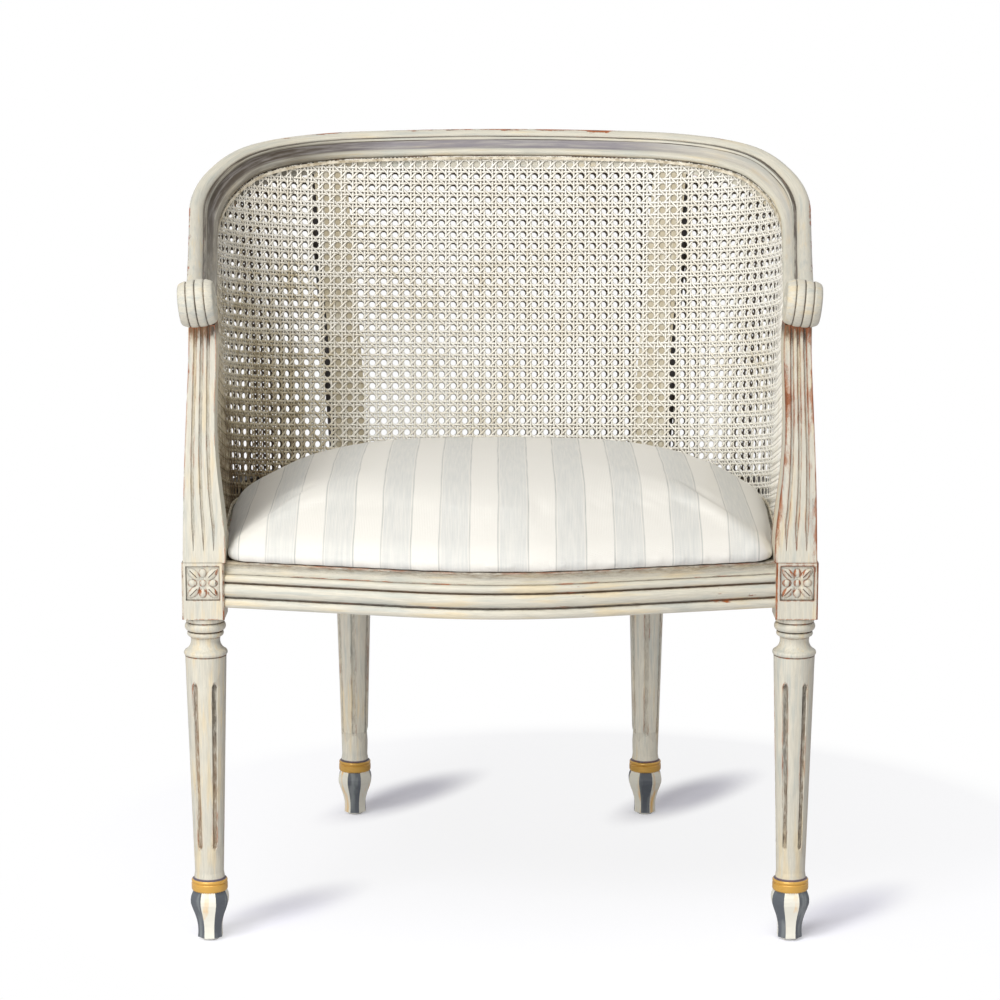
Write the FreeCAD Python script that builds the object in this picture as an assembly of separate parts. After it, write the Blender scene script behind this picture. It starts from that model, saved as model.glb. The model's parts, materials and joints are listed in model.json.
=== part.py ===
import FreeCAD, Part
import functools
import math
import os

# Barrel-back armchair with caned back and sides, a turned and fluted frame and a padded seat.
# Millimetres. X is the sitter's left and right, +Y points to the back and +Z up.
# The working zero of Y is the axis of the front legs; every piece is moved by ORIGIN_SHIFT
# on export, so the origin is on the floor under the middle of the chair.

V = FreeCAD.Vector

# Driving dimensions
SEAT_RAIL_TOP = 384.0
SEAT_RAIL_HEIGHT = 45.0
RAIL_THICKNESS = 30.0
FRONT_LEG_X = 288.0
REAR_LEG_X = 165.0
BOW_DEPTH = 55.2
BOW_RADIUS = 372.0
BOW_HALF_CENTRE = 90.0
RAIL_END_Y = -18.0
BLOCK_SIZE = 41.0
BLOCK_BOTTOM = 328.0
CANE_GAP = 21.0
CANE_THICKNESS = 1.7
CANE_CLEARANCE = 0.2
STILE_WIDTH = 40.0
STILE_ANGLE = 20.8
STILE_DROP = 28.0
JOINT_ANGLE = 40.5
SCROLL_RADIUS = 23.0
SCROLL_WIDTH = 37.0
SCROLL_CENTRE = (289.5, -15.0, 636.0)
SCROLL_TILT = 8.0
POST_TOP = 616.0
CROWN_HEIGHT = 77.8
GLIDE_HEIGHT = 3.0

# Plan of the tub at the seat and along the top rail: half width at the front, how much a side
# opens per millimetre going back, back radius, corner radius and the middle of the back.
SEAT_PLAN = {"front_x": 288.0, "slope": 0.033, "back_r": 840.0, "corner_r": 200.0, "back_y": 476.0}
TOP_PLAN = {"front_x": 286.0, "slope": 0.09, "back_r": 1040.0, "corner_r": 185.7, "back_y": 528.5}

# Height of the top rail against distance behind the front legs: level arms, a sweep, the crest.
ARM_SWEEP = [(-20, 657.5), (60, 662), (200, 678), (300, 698), (390, 733), (450, 756), (530, 771.5)]

RAIL_HALF = 14.5
RAIL_DEPTH = 42.0
CANE_TOP_DROP = 28.6
CANE_BOTTOM = SEAT_RAIL_TOP + 1.0
SILL_HEIGHT = 20.0
ORIGIN_SHIFT = V(0, (BOW_DEPTH - RAIL_END_Y - TOP_PLAN["back_y"] - RAIL_HALF) / 2, 0)


# Plan curves and the raked surface between them
def solve_plan(plan):
    """Corner centre, back angle and side direction of a U made of a back arc, corners and sides."""
    length = math.hypot(plan["slope"], 1.0)
    along = (plan["slope"] / length, 1.0 / length)
    normal = (1.0 / length, -plan["slope"] / length)
    ax = plan["front_x"] - plan["corner_r"] * normal[0]
    ay = -plan["corner_r"] * normal[1] - (plan["back_y"] - plan["back_r"])
    reach = plan["back_r"] - plan["corner_r"]
    b = ax * along[0] + ay * along[1]
    side = -b + math.sqrt(b * b - ax * ax - ay * ay + reach * reach)
    centre = (ax + side * along[0], ay + side * along[1] + plan["back_y"] - plan["back_r"])
    back_angle = math.atan2(centre[0], centre[1] - plan["back_y"] + plan["back_r"])
    return {
        "centre": centre,
        "back_angle": back_angle,
        "side_angle": math.atan2(normal[0], normal[1]),
        "side": side,
        "along": along,
        "normal": normal,
    }


SOLVED = {"seat": solve_plan(SEAT_PLAN), "top": solve_plan(TOP_PLAN)}
PLANS = {"seat": SEAT_PLAN, "top": TOP_PLAN}


def plan_point(name, u):
    """Point and outward normal of a plan curve: 0 is the back, 1 and 2 end the arcs, 3 the front."""
    plan = PLANS[name]
    solved = SOLVED[name]
    sign = -1.0 if u < 0 else 1.0
    u = abs(u)
    if u <= 1.0:
        angle = solved["back_angle"] * u
        x = plan["back_r"] * math.sin(angle)
        y = plan["back_y"] - plan["back_r"] + plan["back_r"] * math.cos(angle)
        nx, ny = math.sin(angle), math.cos(angle)
    elif u <= 2.0:
        angle = solved["back_angle"] + (solved["side_angle"] - solved["back_angle"]) * (u - 1.0)
        nx, ny = math.sin(angle), math.cos(angle)
        x = solved["centre"][0] + plan["corner_r"] * nx
        y = solved["centre"][1] + plan["corner_r"] * ny
    else:
        rest = solved["side"] * (3.0 - u)
        x = plan["front_x"] + rest * solved["along"][0]
        y = rest * solved["along"][1]
        nx, ny = solved["normal"]
    return sign * x, y, sign * nx, ny


def rail_height(y):
    """Top of the top rail at a distance behind the front legs, smooth through ARM_SWEEP."""
    knots = ARM_SWEEP
    last = len(knots) - 1
    y = min(max(y, knots[0][0]), knots[last][0])
    k = max(i for i in range(last) if knots[i][0] <= y)

    def slope(i):
        low, high = max(i - 1, 0), min(i + 1, last)
        return (knots[high][1] - knots[low][1]) / (knots[high][0] - knots[low][0])

    span = knots[k + 1][0] - knots[k][0]
    t = (y - knots[k][0]) / span
    h00 = 2 * t**3 - 3 * t**2 + 1
    h10 = t**3 - 2 * t**2 + t
    h01 = 3 * t**2 - 2 * t**3
    h11 = t**3 - t**2
    return h00 * knots[k][1] + h10 * span * slope(k) + h01 * knots[k + 1][1] + h11 * span * slope(k + 1)


@functools.lru_cache(maxsize=None)
def foot_of(u):
    """Point of the seat plan in the upright plane that is square to the top rail at station u."""
    x, y, nx, ny = plan_point("top", u)
    low, high = u - 1.5, u + 1.5

    def ahead(v):
        bx, by = plan_point("seat", v)[:2]
        return (bx - x) * ny - (by - y) * nx

    for _ in range(50):
        middle = (low + high) / 2
        if ahead(middle) < 0:
            low = middle
        else:
            high = middle
    return plan_point("seat", low)[:2]


def frame_point(u, z, offset=0.0):
    """Point on the raked tub surface at height z, moved outward by offset."""
    x, y, nx, ny = plan_point("top", u)
    bx, by = foot_of(u)
    t = (z - SEAT_RAIL_TOP) / (rail_height(y) - SEAT_RAIL_TOP)
    return V(bx + (x - bx) * t + nx * offset, by + (y - by) * t + ny * offset, z)


def rail_top(u):
    return rail_height(plan_point("top", u)[1])


def u_at_angle(degrees):
    """Station on the corner where the top rail faces this many degrees away from straight back."""
    start, end = SOLVED["top"]["back_angle"], SOLVED["top"]["side_angle"]
    return 1.0 + (math.radians(degrees) - start) / (end - start)


def u_at_y(y):
    """Station on the side of the top rail at this distance behind the front legs."""
    return 3.0 - y / SOLVED["top"]["along"][1] / SOLVED["top"]["side"]


def station_where(measure, goal, low, high):
    """Station at which a rising measure reaches the goal."""
    for _ in range(50):
        middle = (low + high) / 2
        if measure(middle) < goal:
            low = middle
        else:
            high = middle
    return low


U_STILE = u_at_angle(STILE_ANGLE)
U_JOINT = u_at_angle(JOINT_ANGLE)
U_STILE_FOOT = station_where(lambda u: frame_point(u, SEAT_RAIL_TOP).x, REAR_LEG_X, 0.0, 2.0)
U_SEAT_REAR = station_where(lambda u: plan_point("seat", u)[0], REAR_LEG_X, 0.0, 2.0)


def length_at(u):
    """Distance along the top rail from the middle of the back to a station."""
    solved = SOLVED["top"]
    back = TOP_PLAN["back_r"] * solved["back_angle"]
    corner = TOP_PLAN["corner_r"] * (solved["side_angle"] - solved["back_angle"])
    far = abs(u)
    run = back * min(far, 1.0)
    run += corner * min(max(far - 1.0, 0.0), 1.0)
    run += solved["side"] * max(far - 2.0, 0.0)
    return run if u >= 0 else -run


def stations(first, last, spacing=36.0):
    """Stations from first to last, evenly spaced along the top rail."""
    start, end = length_at(first), length_at(last)
    count = max(2, round((end - start) / spacing))
    inner = [start + (end - start) * i / count for i in range(1, count)]
    return [first] + [station_where(length_at, run, first, last) for run in inner] + [last]


# Shape helpers
LOFT_DEGREE = 8


def wire_from(moves, place):
    """Closed wire from a start point and moves: a pair is a line, a pair of pairs an arc through."""
    edges = []
    at = place(*moves[0])
    for move in moves[1:] + [moves[0]]:
        if isinstance(move[0], tuple):
            middle, end = place(*move[0]), place(*move[1])
            edges.append(Part.Arc(at, middle, end).toShape())
            at = end
        else:
            end = place(*move)
            if (end - at).Length > 1e-6:
                edges.append(Part.makeLine(at, end))
            at = end
    return Part.Wire(edges)


def loft(wires, ruled=False):
    solid = Part.makeLoft(wires, True, ruled, False, LOFT_DEGREE)
    if solid.Volume < 0:
        solid.reverse()
    return solid


def sweep_section(moves, us, top):
    """Loft a section along the tub: moves are (outward, height above top(u))."""
    wires = []
    for u in us:
        base = top(u)
        wires.append(wire_from(moves, lambda n, z, u=u, base=base: frame_point(u, base + z, n)))
    return loft(wires)


def box(x, y, z, sx, sy, sz):
    """Box by its centre in X and Y and its bottom in Z."""
    return Part.makeBox(sx, sy, sz, V(x - sx / 2, y - sy / 2, z))


def turned(points, x, y):
    """Solid turned about a vertical axis: points are (radius, z) pairs or arcs as in wire_from."""
    wire = wire_from(points, lambda r, z: V(r, 0, z))
    solid = Part.Face(wire).revolve(V(0, 0, 0), V(0, 0, 1), 360)
    solid.translate(V(x, y, 0))
    return solid


def mirrored(shape):
    return shape.mirror(V(0, 0, 0), V(1, 0, 0))


def rod(start, direction, length, radius):
    return Part.makeCylinder(radius, length, start, direction)


def screw(start, direction, length):
    """Countersunk wood screw whose head is at start."""
    head = Part.makeCone(4.0, 1.9, 3.0, start, direction)
    return head.fuse(Part.makeCylinder(1.9, length, start, direction)).removeSplitter()


def cut(shape, *tools):
    for tool in tools:
        shape = shape.cut(tool)
    return shape


# Turned legs
FOOT_TOP = 51.0
RING_TOP = 62.5
SHAFT_LOW = 70.0
SHAFT_HIGH = 288.5
FLUTES = 6
FLUTE_LOW = 88.0
FLUTE_HIGH = 270.0
FLUTE_RADIUS = 3.6

# Height and width across the flats of the vase foot
FOOT_WIDTHS = [(GLIDE_HEIGHT, 24.0), (9.0, 23.2), (15.0, 23.6), (21.0, 25.6), (27.0, 29.0), (33.0, 33.4),
               (38.0, 36.4), (42.0, 36.8), (46.0, 35.6), (FOOT_TOP, 31.5)]


def foot(x, y):
    """Eight-sided vase foot, narrow at the floor and full under the ring, with a facet to the front."""
    wires = []
    for z, across in FOOT_WIDTHS:
        r = across / 2 / math.cos(math.pi / 8)
        corners = [math.pi / 4 * (k + 0.5) for k in range(8)]
        ring = [V(x + r * math.cos(a), y + r * math.sin(a), z) for a in corners]
        wires.append(Part.makePolygon(ring + ring[:1]))
    return loft(wires, ruled=True)


# Radius and height of the turned part, from the gold ring to the collar under the block. A pair of
# pairs is an arc through the first to the second.
LEG_PROFILE = [
    (0, FOOT_TOP - 0.5),
    (16.6, FOOT_TOP - 0.5),
    (17.6, FOOT_TOP + 0.6),
    (17.9, FOOT_TOP + 1.6),
    (17.9, 58.0),
    (17.1, 58.8),
    (17.4, 59.4),
    ((17.8, 60.8), (16.8, RING_TOP)),
    (15.4, RING_TOP + 0.4),
    (14.3, SHAFT_LOW),
    (20.2, SHAFT_HIGH),
    (19.7, 289.2),
    (20.9, 290.2),
    ((21.4, 291.8), (20.4, 294.2)),
    ((15.7, 298.6), (14.2, 304.0)),
    (14.6, 307.6),
    (16.6, 308.6),
    ((17.9, 311.0), (16.8, 313.4)),
    (16.5, 313.9),
    (18.2, 314.4),
    ((20.1, 318.2), (18.4, 322.0)),
    (18.0, 322.6),
    (19.0, 323.3),
    (19.2, BLOCK_BOTTOM),
    (0, BLOCK_BOTTOM),
]


def turned_leg(x, y, first_flute):
    """Foot, ring, tapered shaft with pointed flutes, flared collar, cove and two beads."""
    leg = turned(LEG_PROFILE, x, y).fuse(foot(x, y))
    low, high = LEG_PROFILE[9][0], LEG_PROFILE[10][0]
    lean = math.atan2(high - low, SHAFT_HIGH - SHAFT_LOW)
    for k in range(FLUTES):
        around = first_flute + 2 * math.pi * k / FLUTES
        spindle = [
            (0, FLUTE_LOW),
            (FLUTE_RADIUS * 0.85, FLUTE_LOW + 9.0),
            (FLUTE_RADIUS, FLUTE_HIGH - 10.0),
            (0, FLUTE_HIGH),
        ]
        flute = turned(spindle, 0, 0)
        flute.rotate(V(0, 0, SHAFT_LOW), V(0, 1, 0), math.degrees(lean))
        flute.translate(V(low + 1.6, 0, 0))
        flute.rotate(V(0, 0, 0), V(0, 0, 1), math.degrees(around))
        flute.translate(V(x, y, 0))
        leg = leg.cut(flute)
    return leg


def leg_block(x, y, turn):
    """Square block that takes the seat rails, its upright edges chamfered."""
    block = box(0, 0, BLOCK_BOTTOM, BLOCK_SIZE, BLOCK_SIZE, SEAT_RAIL_TOP - BLOCK_BOTTOM)
    edges = [e for e in block.Edges if abs(e.BoundBox.ZLength) > 20]
    block = block.makeChamfer(1.6, edges)
    block.rotate(V(0, 0, 0), V(0, 0, 1), turn)
    block.translate(V(x, y, 0))
    return block


ROSETTE_WIDTH = 33.0
ROSETTE_HEIGHT = 34.0
ROSETTE_LOW = 347.0
ROSETTE_DEPTH = 1.8
# Radius, half length and distance out of the sunk spindles that show as small and as diagonal petals
SMALL_PETAL = (4.7, 6.4, 10.0)
LARGE_PETAL = (6.0, 13.3, 12.4)


def rosette(block):
    """Sunk panel with a flower of four large split petals and four small ones."""
    face_y = -BLOCK_SIZE / 2
    middle = ROSETTE_LOW + ROSETTE_HEIGHT / 2
    sunk = Part.makeBox(ROSETTE_WIDTH, ROSETTE_DEPTH, ROSETTE_HEIGHT,
                        V(FRONT_LEG_X - ROSETTE_WIDTH / 2, face_y, ROSETTE_LOW))
    block = block.cut(sunk)
    boss = Part.makeSphere(4.2)
    boss.translate(V(FRONT_LEG_X, face_y + 4.0, middle))
    for k in range(8):
        radius, half_length, out = LARGE_PETAL if k % 2 else SMALL_PETAL
        petal = turned([(0, -half_length), ((radius, 0), (0, half_length))], 0, 0)
        if k % 2:
            petal = petal.cut(Part.makeBox(0.8, 2.2, 10.0, V(-0.4, -radius - 1.0, -4.5)))
        petal.translate(V(0, 0, out))
        petal.rotate(V(0, 0, 0), V(0, 1, 0), 45.0 * k)
        petal.translate(V(FRONT_LEG_X, face_y + radius, middle))
        block = block.fuse(petal)
    return block.fuse(boss)


# Outer and inner edge of an arm post in X, and its front and back in Y, at five heights
POST_SECTIONS = [
    (SEAT_RAIL_TOP, 307.0, 266.0, -20.0, 20.0),
    (420.0, 306.4, 267.2, -18.0, 18.5),
    (475.0, 304.6, 273.0, -16.0, 17.0),
    (541.0, 301.0, 274.0, -15.0, 16.5),
    (POST_TOP, 297.6, 272.7, -15.5, 17.0),
]
POST_GROOVES = 3
GROOVE_RADIUS = 1.6
GROOVE_END = 396.0
GROOVE_TIP_OUT = 1.2


def arm_post():
    """Post above the front block: thin and slightly raked, its front cut with grooves."""
    wires = []
    for z, outer, inner, front, back in POST_SECTIONS:
        moves = [(inner, front), (outer, front), (outer, back), (inner, back)]
        wires.append(wire_from(moves, lambda a, b, z=z: V(a, b, z)))
    post = loft(wires)
    for k in range(POST_GROOVES):
        share = (k + 1.0) / (POST_GROOVES + 1.0)
        rings = []
        for z, outer, inner, front, back in POST_SECTIONS[1:]:
            centre = V(inner + (outer - inner) * share, front - 0.3, z)
            rings.append(Part.Wire(Part.makeCircle(GROOVE_RADIUS, centre, V(0, 0, 1))))
        tip = V(rings[0].CenterOfGravity.x, POST_SECTIONS[1][3] - GROOVE_TIP_OUT, GROOVE_END)
        point = loft([Part.Wire(Part.makeCircle(0.2, tip, V(0, 0, 1))), rings[0]], ruled=True)
        post = post.cut(loft(rings)).cut(point)
    return post


def front_leg():
    leg = turned_leg(FRONT_LEG_X, 0, 0.0)
    block = rosette(leg_block(FRONT_LEG_X, 0, 0.0))
    return leg.fuse(block).fuse(arm_post()).removeSplitter()


def stile():
    """Raked upright between the two cane sheets, from the rear block into the crest."""
    half = CANE_GAP / 2 - CANE_CLEARANCE
    wires = []
    top = rail_top(U_STILE) - STILE_DROP
    for share in (0.0, 0.5, 1.0):
        z = SEAT_RAIL_TOP - 1.0 + (top - SEAT_RAIL_TOP + 1.0) * share
        u = U_STILE_FOOT + (U_STILE - U_STILE_FOOT) * share
        reach = station_where(lambda r, u=u, z=z: (frame_point(u + r, z) - frame_point(u - r, z)).Length,
                              STILE_WIDTH, 0.0, 1.0)
        inner = [frame_point(u + side * reach, z, -half) for side in (-1, 0, 1)]
        outer = [frame_point(u + side * reach, z, half) for side in (1, 0, -1)]
        wires.append(Part.Wire([
            Part.Arc(*inner).toShape(),
            Part.makeLine(inner[2], outer[0]),
            Part.Arc(*outer).toShape(),
            Part.makeLine(outer[2], inner[0]),
        ]))
    return loft(wires)


def rear_leg_axis():
    return plan_point("seat", U_SEAT_REAR)[:2]


def rear_leg():
    x, y = rear_leg_axis()
    leg = turned_leg(x, y, math.pi / FLUTES)
    return leg.fuse(leg_block(x, y, -STILE_ANGLE)).fuse(stile()).removeSplitter()


# Rails
CORE_HALF = CANE_GAP / 2 - CANE_CLEARANCE
TOP_SECTION = [
    (CORE_HALF, -RAIL_DEPTH),
    (CORE_HALF, -CANE_TOP_DROP),
    (13.6, -CANE_TOP_DROP + 0.4),
    ((14.5, -26.0), (13.8, -23.8)),
    (RAIL_HALF, -22.8),
    (RAIL_HALF, -7.0),
    ((12.9, -2.6), (8.5, -0.4)),
    ((3.8, -1.9), (-0.5, -7.0)),
    (0.2, -8.0),
    (-1.2, -8.6),
    ((-3.9, -8.7), (-4.6, -11.3)),
    ((-5.6, -17.2), (-10.8, -20.6)),
    (-11.6, -21.0),
    ((-RAIL_HALF, -24.4), (-12.6, -27.9)),
    (-CORE_HALF, -CANE_TOP_DROP),
    (-CORE_HALF, -RAIL_DEPTH),
]

# Depth behind the face and height above the bottom of the moulded seat rails
SEAT_SECTION = [
    (-RAIL_THICKNESS, 0.0),
    (-3.2, 0.0),
    ((-0.6, 4.6), (-3.2, 9.2)),
    (-4.8, 9.6),
    (-4.8, 10.8),
    (-3.2, 11.2),
    ((0.0, 17.4), (-3.2, 23.6)),
    (-5.0, 24.0),
    (-5.0, 25.0),
    (-3.6, 25.4),
    ((-1.2, 28.8), (-3.8, 32.2)),
    (-5.6, 32.6),
    (-5.6, 33.6),
    ((-9.2, 38.4), (-6.4, 43.0)),
    (-5.2, 43.4),
    (-5.2, SEAT_RAIL_HEIGHT),
    (-RAIL_THICKNESS, SEAT_RAIL_HEIGHT),
]


def crest_rail():
    return sweep_section(TOP_SECTION, stations(-U_JOINT, U_JOINT), rail_top)


def scroll():
    """Reeded roll that ends an arm: four rounded reeds about a cross axis, with button ends."""
    x, y, z = SCROLL_CENTRE
    reed = SCROLL_WIDTH / 4
    left = -SCROLL_WIDTH / 2
    moves = [(left, 0), (left, SCROLL_RADIUS - 6.0)]
    moves.append(((left + 0.8, SCROLL_RADIUS - 3.4), (left + 2.0, SCROLL_RADIUS - 1.6)))
    for k in range(4):
        start = left + reed * k + (2.0 if k == 0 else 0.5)
        end = left + reed * (k + 1) - (2.0 if k == 3 else 0.5)
        if k:
            moves.append((start, SCROLL_RADIUS - 1.6))
        moves.append((((start + end) / 2, SCROLL_RADIUS), (end, SCROLL_RADIUS - 1.6)))
    moves.append(((-left - 0.8, SCROLL_RADIUS - 3.4), (-left, SCROLL_RADIUS - 6.0)))
    moves.append((-left, 0))
    solid = Part.Face(wire_from(moves, lambda a, r: V(a, 0, r))).revolve(V(0, 0, 0), V(1, 0, 0), 360)
    for side in (-1, 1):
        groove = Part.makeTorus(11.0, 1.6, V(side * SCROLL_WIDTH / 2, 0, 0), V(1, 0, 0))
        solid = solid.cut(groove)
    solid.rotate(V(0, 0, 0), V(0, 1, 0), SCROLL_TILT)
    solid.translate(V(x, y, z))
    return solid


def arm_rail():
    """Top rail from the crest joint to the scroll, thickened where it stands on the post."""
    rail = sweep_section(TOP_SECTION, stations(U_JOINT, u_at_y(-8.0)), rail_top)
    outer, inner, front, back = POST_SECTIONS[-1][1:]
    shoe = Part.makeBox(outer - inner, back - front - 6.0, 24.0, V(inner, front + 6.0, POST_TOP))
    return rail.fuse(shoe).fuse(scroll()).removeSplitter()


def front_face(back):
    """Right end of the front bow, Y of its middle and its half angle, behind the moulded face."""
    angle = math.asin(BOW_HALF_CENTRE / BOW_RADIUS)
    r = BOW_RADIUS - back
    centre_y = RAIL_END_Y - BOW_DEPTH + BOW_RADIUS
    end = (r * math.sin(angle), centre_y - r * math.cos(angle))
    return end, centre_y - r, angle


def front_seat_rail():
    """Bow-fronted rail: straight wings and a round middle, moulded on the face."""
    low = SEAT_RAIL_TOP - SEAT_RAIL_HEIGHT
    (x, y), middle, angle = front_face(0.0)
    centre = V(0, middle + BOW_RADIUS, 0)
    section = Part.Face(wire_from(SEAT_SECTION, lambda d, z: V(0, middle - d, low + z)))
    section.rotate(centre, V(0, 0, 1), -math.degrees(angle))
    bow = section.revolve(centre, V(0, 0, 1), 2 * math.degrees(angle))
    length = (FRONT_LEG_X - x) / math.cos(angle)
    direction = V(math.cos(angle), math.sin(angle), 0)
    inward = V(-math.sin(angle), math.cos(angle), 0)
    wing = Part.Face(wire_from(SEAT_SECTION, lambda d, z: V(x, y, low + z) + inward * -d))
    right = wing.extrude(direction * length)
    return bow.fuse(right).fuse(mirrored(right)).removeSplitter()


def seat_rail(first, last):
    """Moulded seat rail along the tub between two stations."""
    low = SEAT_RAIL_TOP - SEAT_RAIL_HEIGHT
    wires = []
    for u in stations(first, last):
        x, y, nx, ny = plan_point("seat", u)
        wires.append(wire_from(SEAT_SECTION, lambda d, z, x=x, y=y, nx=nx, ny=ny: V(
            x + nx * (d + RAIL_THICKNESS / 2), y + ny * (d + RAIL_THICKNESS / 2), low + z)))
    return loft(wires)


def cane_sill(first, last):
    """Low rail on the seat rail that the foot of both cane sheets is fixed to."""
    half = CANE_GAP / 2 - CANE_CLEARANCE
    moves = [(-half, 0), (half, 0), (half, SILL_HEIGHT), (-half, SILL_HEIGHT)]
    return sweep_section(moves, stations(first, last), lambda u: SEAT_RAIL_TOP)


# Cane and its splines
CANE_FRONT_Y = 21.0
CANE_COLUMNS = 12
CANE_ROWS = 5
# Share of a column's width and of a row's height that is open
CANE_OPEN_WIDTH = 0.5
CANE_OPEN_HEIGHT = 0.55
SPLINE = 3.0


def upright_strip(u, near, far, low, high):
    """Four-sided outline across the tub at a station, between two offsets and two heights."""
    corners = [frame_point(u, z, n) for n, z in ((near, low), (far, low), (far, high), (near, high))]
    return Part.makePolygon(corners + corners[:1])


def cane_sheet(side):
    """Woven sheet as one thin skin: side is -1 for the inner face of the frame, +1 for the outer."""
    near, far = side * CANE_GAP / 2, side * (CANE_GAP / 2 + CANE_THICKNESS)
    end = u_at_y(CANE_FRONT_Y)
    wires = []
    for u in stations(-end, end):
        high = rail_top(u) - CANE_TOP_DROP - 0.4
        wires.append(upright_strip(u, near, far, CANE_BOTTOM, high))
    return loft(wires).cut(Part.makeCompound(cane_openings(side)))


def cane_openings(side):
    """Cutters for a plain grid of openings, as open in all as the weave of one sheet."""
    near, far = side * (CANE_GAP / 2 - 3.0), side * (CANE_GAP / 2 + CANE_THICKNESS + 3.0)
    end = u_at_y(CANE_FRONT_Y)
    half_run = length_at(end)
    openings = []
    for column in range(CANE_COLUMNS):
        ends = []
        for edge in (-CANE_OPEN_WIDTH, CANE_OPEN_WIDTH):
            share = (2 * column + 1 + edge) / CANE_COLUMNS - 1
            ends.append(station_where(length_at, share * half_run, -end, end))
        for row in range(CANE_ROWS):
            wires = []
            for u in ends:
                height = rail_top(u) - CANE_TOP_DROP - CANE_BOTTOM
                low = CANE_BOTTOM + height * (row + 0.5 - CANE_OPEN_HEIGHT / 2) / CANE_ROWS
                wires.append(upright_strip(u, near, far, low, low + height * CANE_OPEN_HEIGHT / CANE_ROWS))
            openings.append(loft(wires, ruled=True))
    return openings


def cane_splines(side):
    """Reed strips pressed along the top, foot and front edges of a cane sheet."""
    near = side * (CANE_GAP / 2 + CANE_THICKNESS + 0.1)
    far = near + side * 1.6
    end = u_at_y(CANE_FRONT_Y)
    run = stations(-end, end)
    top = sweep_section([(near, 0), (far, 0), (far, -SPLINE), (near, -SPLINE)], run,
                        lambda u: rail_top(u) - CANE_TOP_DROP - 1.0)
    foot_strip = sweep_section([(near, 0), (far, 0), (far, SPLINE), (near, SPLINE)], run,
                               lambda u: CANE_BOTTOM + 3.0)
    uprights = []
    for sign in (-1, 1):
        wires = []
        for u in (sign * u_at_y(CANE_FRONT_Y + 0.5), sign * u_at_y(CANE_FRONT_Y + 0.5 + SPLINE)):
            low, high = CANE_BOTTOM + 6.5, rail_top(u) - CANE_TOP_DROP - 4.5
            wires.append(upright_strip(u, near, far, low, high))
        uprights.append(loft(wires, ruled=True))
    return Part.makeCompound([top, foot_strip] + uprights)


# Seat
SEAT_SIDE = 264.0
SEAT_CLEARANCE = 5.5
SEAT_FRAME_TOP = 400.0
COVER_THICKNESS = 2.0
CORNER_ROUND = 24.0

# Inset from the widest outline and height above the seat rail, from the foot of the pad to the crown
PAD_LEVELS = [(4.0, 0.3), (0.0, 9.0), (3.0, 19.4), (14.0, 30.6), (36.0, 43.5), (64.0, 54.5),
              (99.0, 64.6), (135.0, 71.0), (170.0, 74.7), (205.0, 76.8), (236.0, CROWN_HEIGHT)]


def seat_outline(inset, z):
    """Outline of the seat pad: bowed front, sides and back that follow the inner cane."""
    (fx, fy), front_y, angle = front_face(5.0)
    solved = SOLVED["seat"]
    cx, cy = solved["centre"]
    r = SEAT_PLAN["corner_r"] - CANE_GAP / 2 - CANE_THICKNESS - SEAT_CLEARANCE
    wing_x = SEAT_SIDE - CORNER_ROUND
    wing_y = fy + (wing_x - fx) * math.tan(angle)
    first, last = math.radians(92), solved["back_angle"]
    middle = (first + last) / 2
    side = (cx + r * math.sin(first), cy + r * math.cos(first))
    elbow = (cx + r * math.sin(middle), cy + r * math.cos(middle))
    back = (cx + r * math.sin(last), cy + r * math.cos(last))
    back_y = SEAT_PLAN["back_y"] - SEAT_PLAN["corner_r"] + r
    front_side = (SEAT_SIDE, wing_y + CORNER_ROUND)
    bulge = ((front_side[0] + side[0]) / 2 + 1.5, (front_side[1] + side[1]) / 2)
    nose = (SEAT_SIDE - CORNER_ROUND * 0.3, wing_y + CORNER_ROUND * 0.34)
    half_width, half_length = side[0], (back_y - front_y) / 2
    centre_y = (back_y + front_y) / 2

    def scaled(x, y):
        return V(x * (half_width - inset) / half_width,
                 centre_y + (y - centre_y) * (half_length - inset) / half_length, z)

    def flip(point):
        return (-point[0], point[1])

    points = [
        (-fx, fy),
        ((0, front_y), (fx, fy)),
        (wing_x, wing_y),
        (nose, front_side),
        (bulge, side),
        (elbow, back),
        ((0, back_y), flip(back)),
        (flip(elbow), flip(side)),
        (flip(bulge), flip(front_side)),
        (flip(nose), (-wing_x, wing_y)),
    ]
    return wire_from(points, scaled)


def pad_solid(shrink):
    """Crowned seat pad with drawn-in sides, made smaller by shrink all round and at the top."""
    wires = []
    for inset, rise in PAD_LEVELS:
        drop = shrink if rise > 1.0 else 0.0
        wires.append(seat_outline(inset + shrink, SEAT_RAIL_TOP + rise - drop))
    return loft(wires)


def slab(inset, low, high):
    return Part.Face(seat_outline(inset, low)).extrude(V(0, 0, high - low))


def seat_frame():
    """Four flat members, mitred at the corners, under the edge of the pad."""
    ring = slab(7.0, SEAT_RAIL_TOP + 0.4, SEAT_FRAME_TOP).cut(slab(52.0, SEAT_RAIL_TOP, SEAT_FRAME_TOP + 1))
    centre_y = 200.0
    size = 700.0
    members = {}
    for name, turn in (("right", 0), ("rear", 90), ("left", 180), ("front", 270)):
        spread = 0.93 if name in ("right", "left") else 1 / 0.93
        corners = [V(0, 0, 0), V(size, -size * spread, 0), V(size, size * spread, 0), V(0, 0, 0)]
        wedge = Part.Face(Part.makePolygon(corners)).extrude(V(0, 0, size))
        wedge.rotate(V(0, 0, 0), V(0, 0, 1), turn)
        wedge.translate(V(0, centre_y, 0))
        members["seat_frame_" + name] = ring.common(wedge)
    return members


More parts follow.
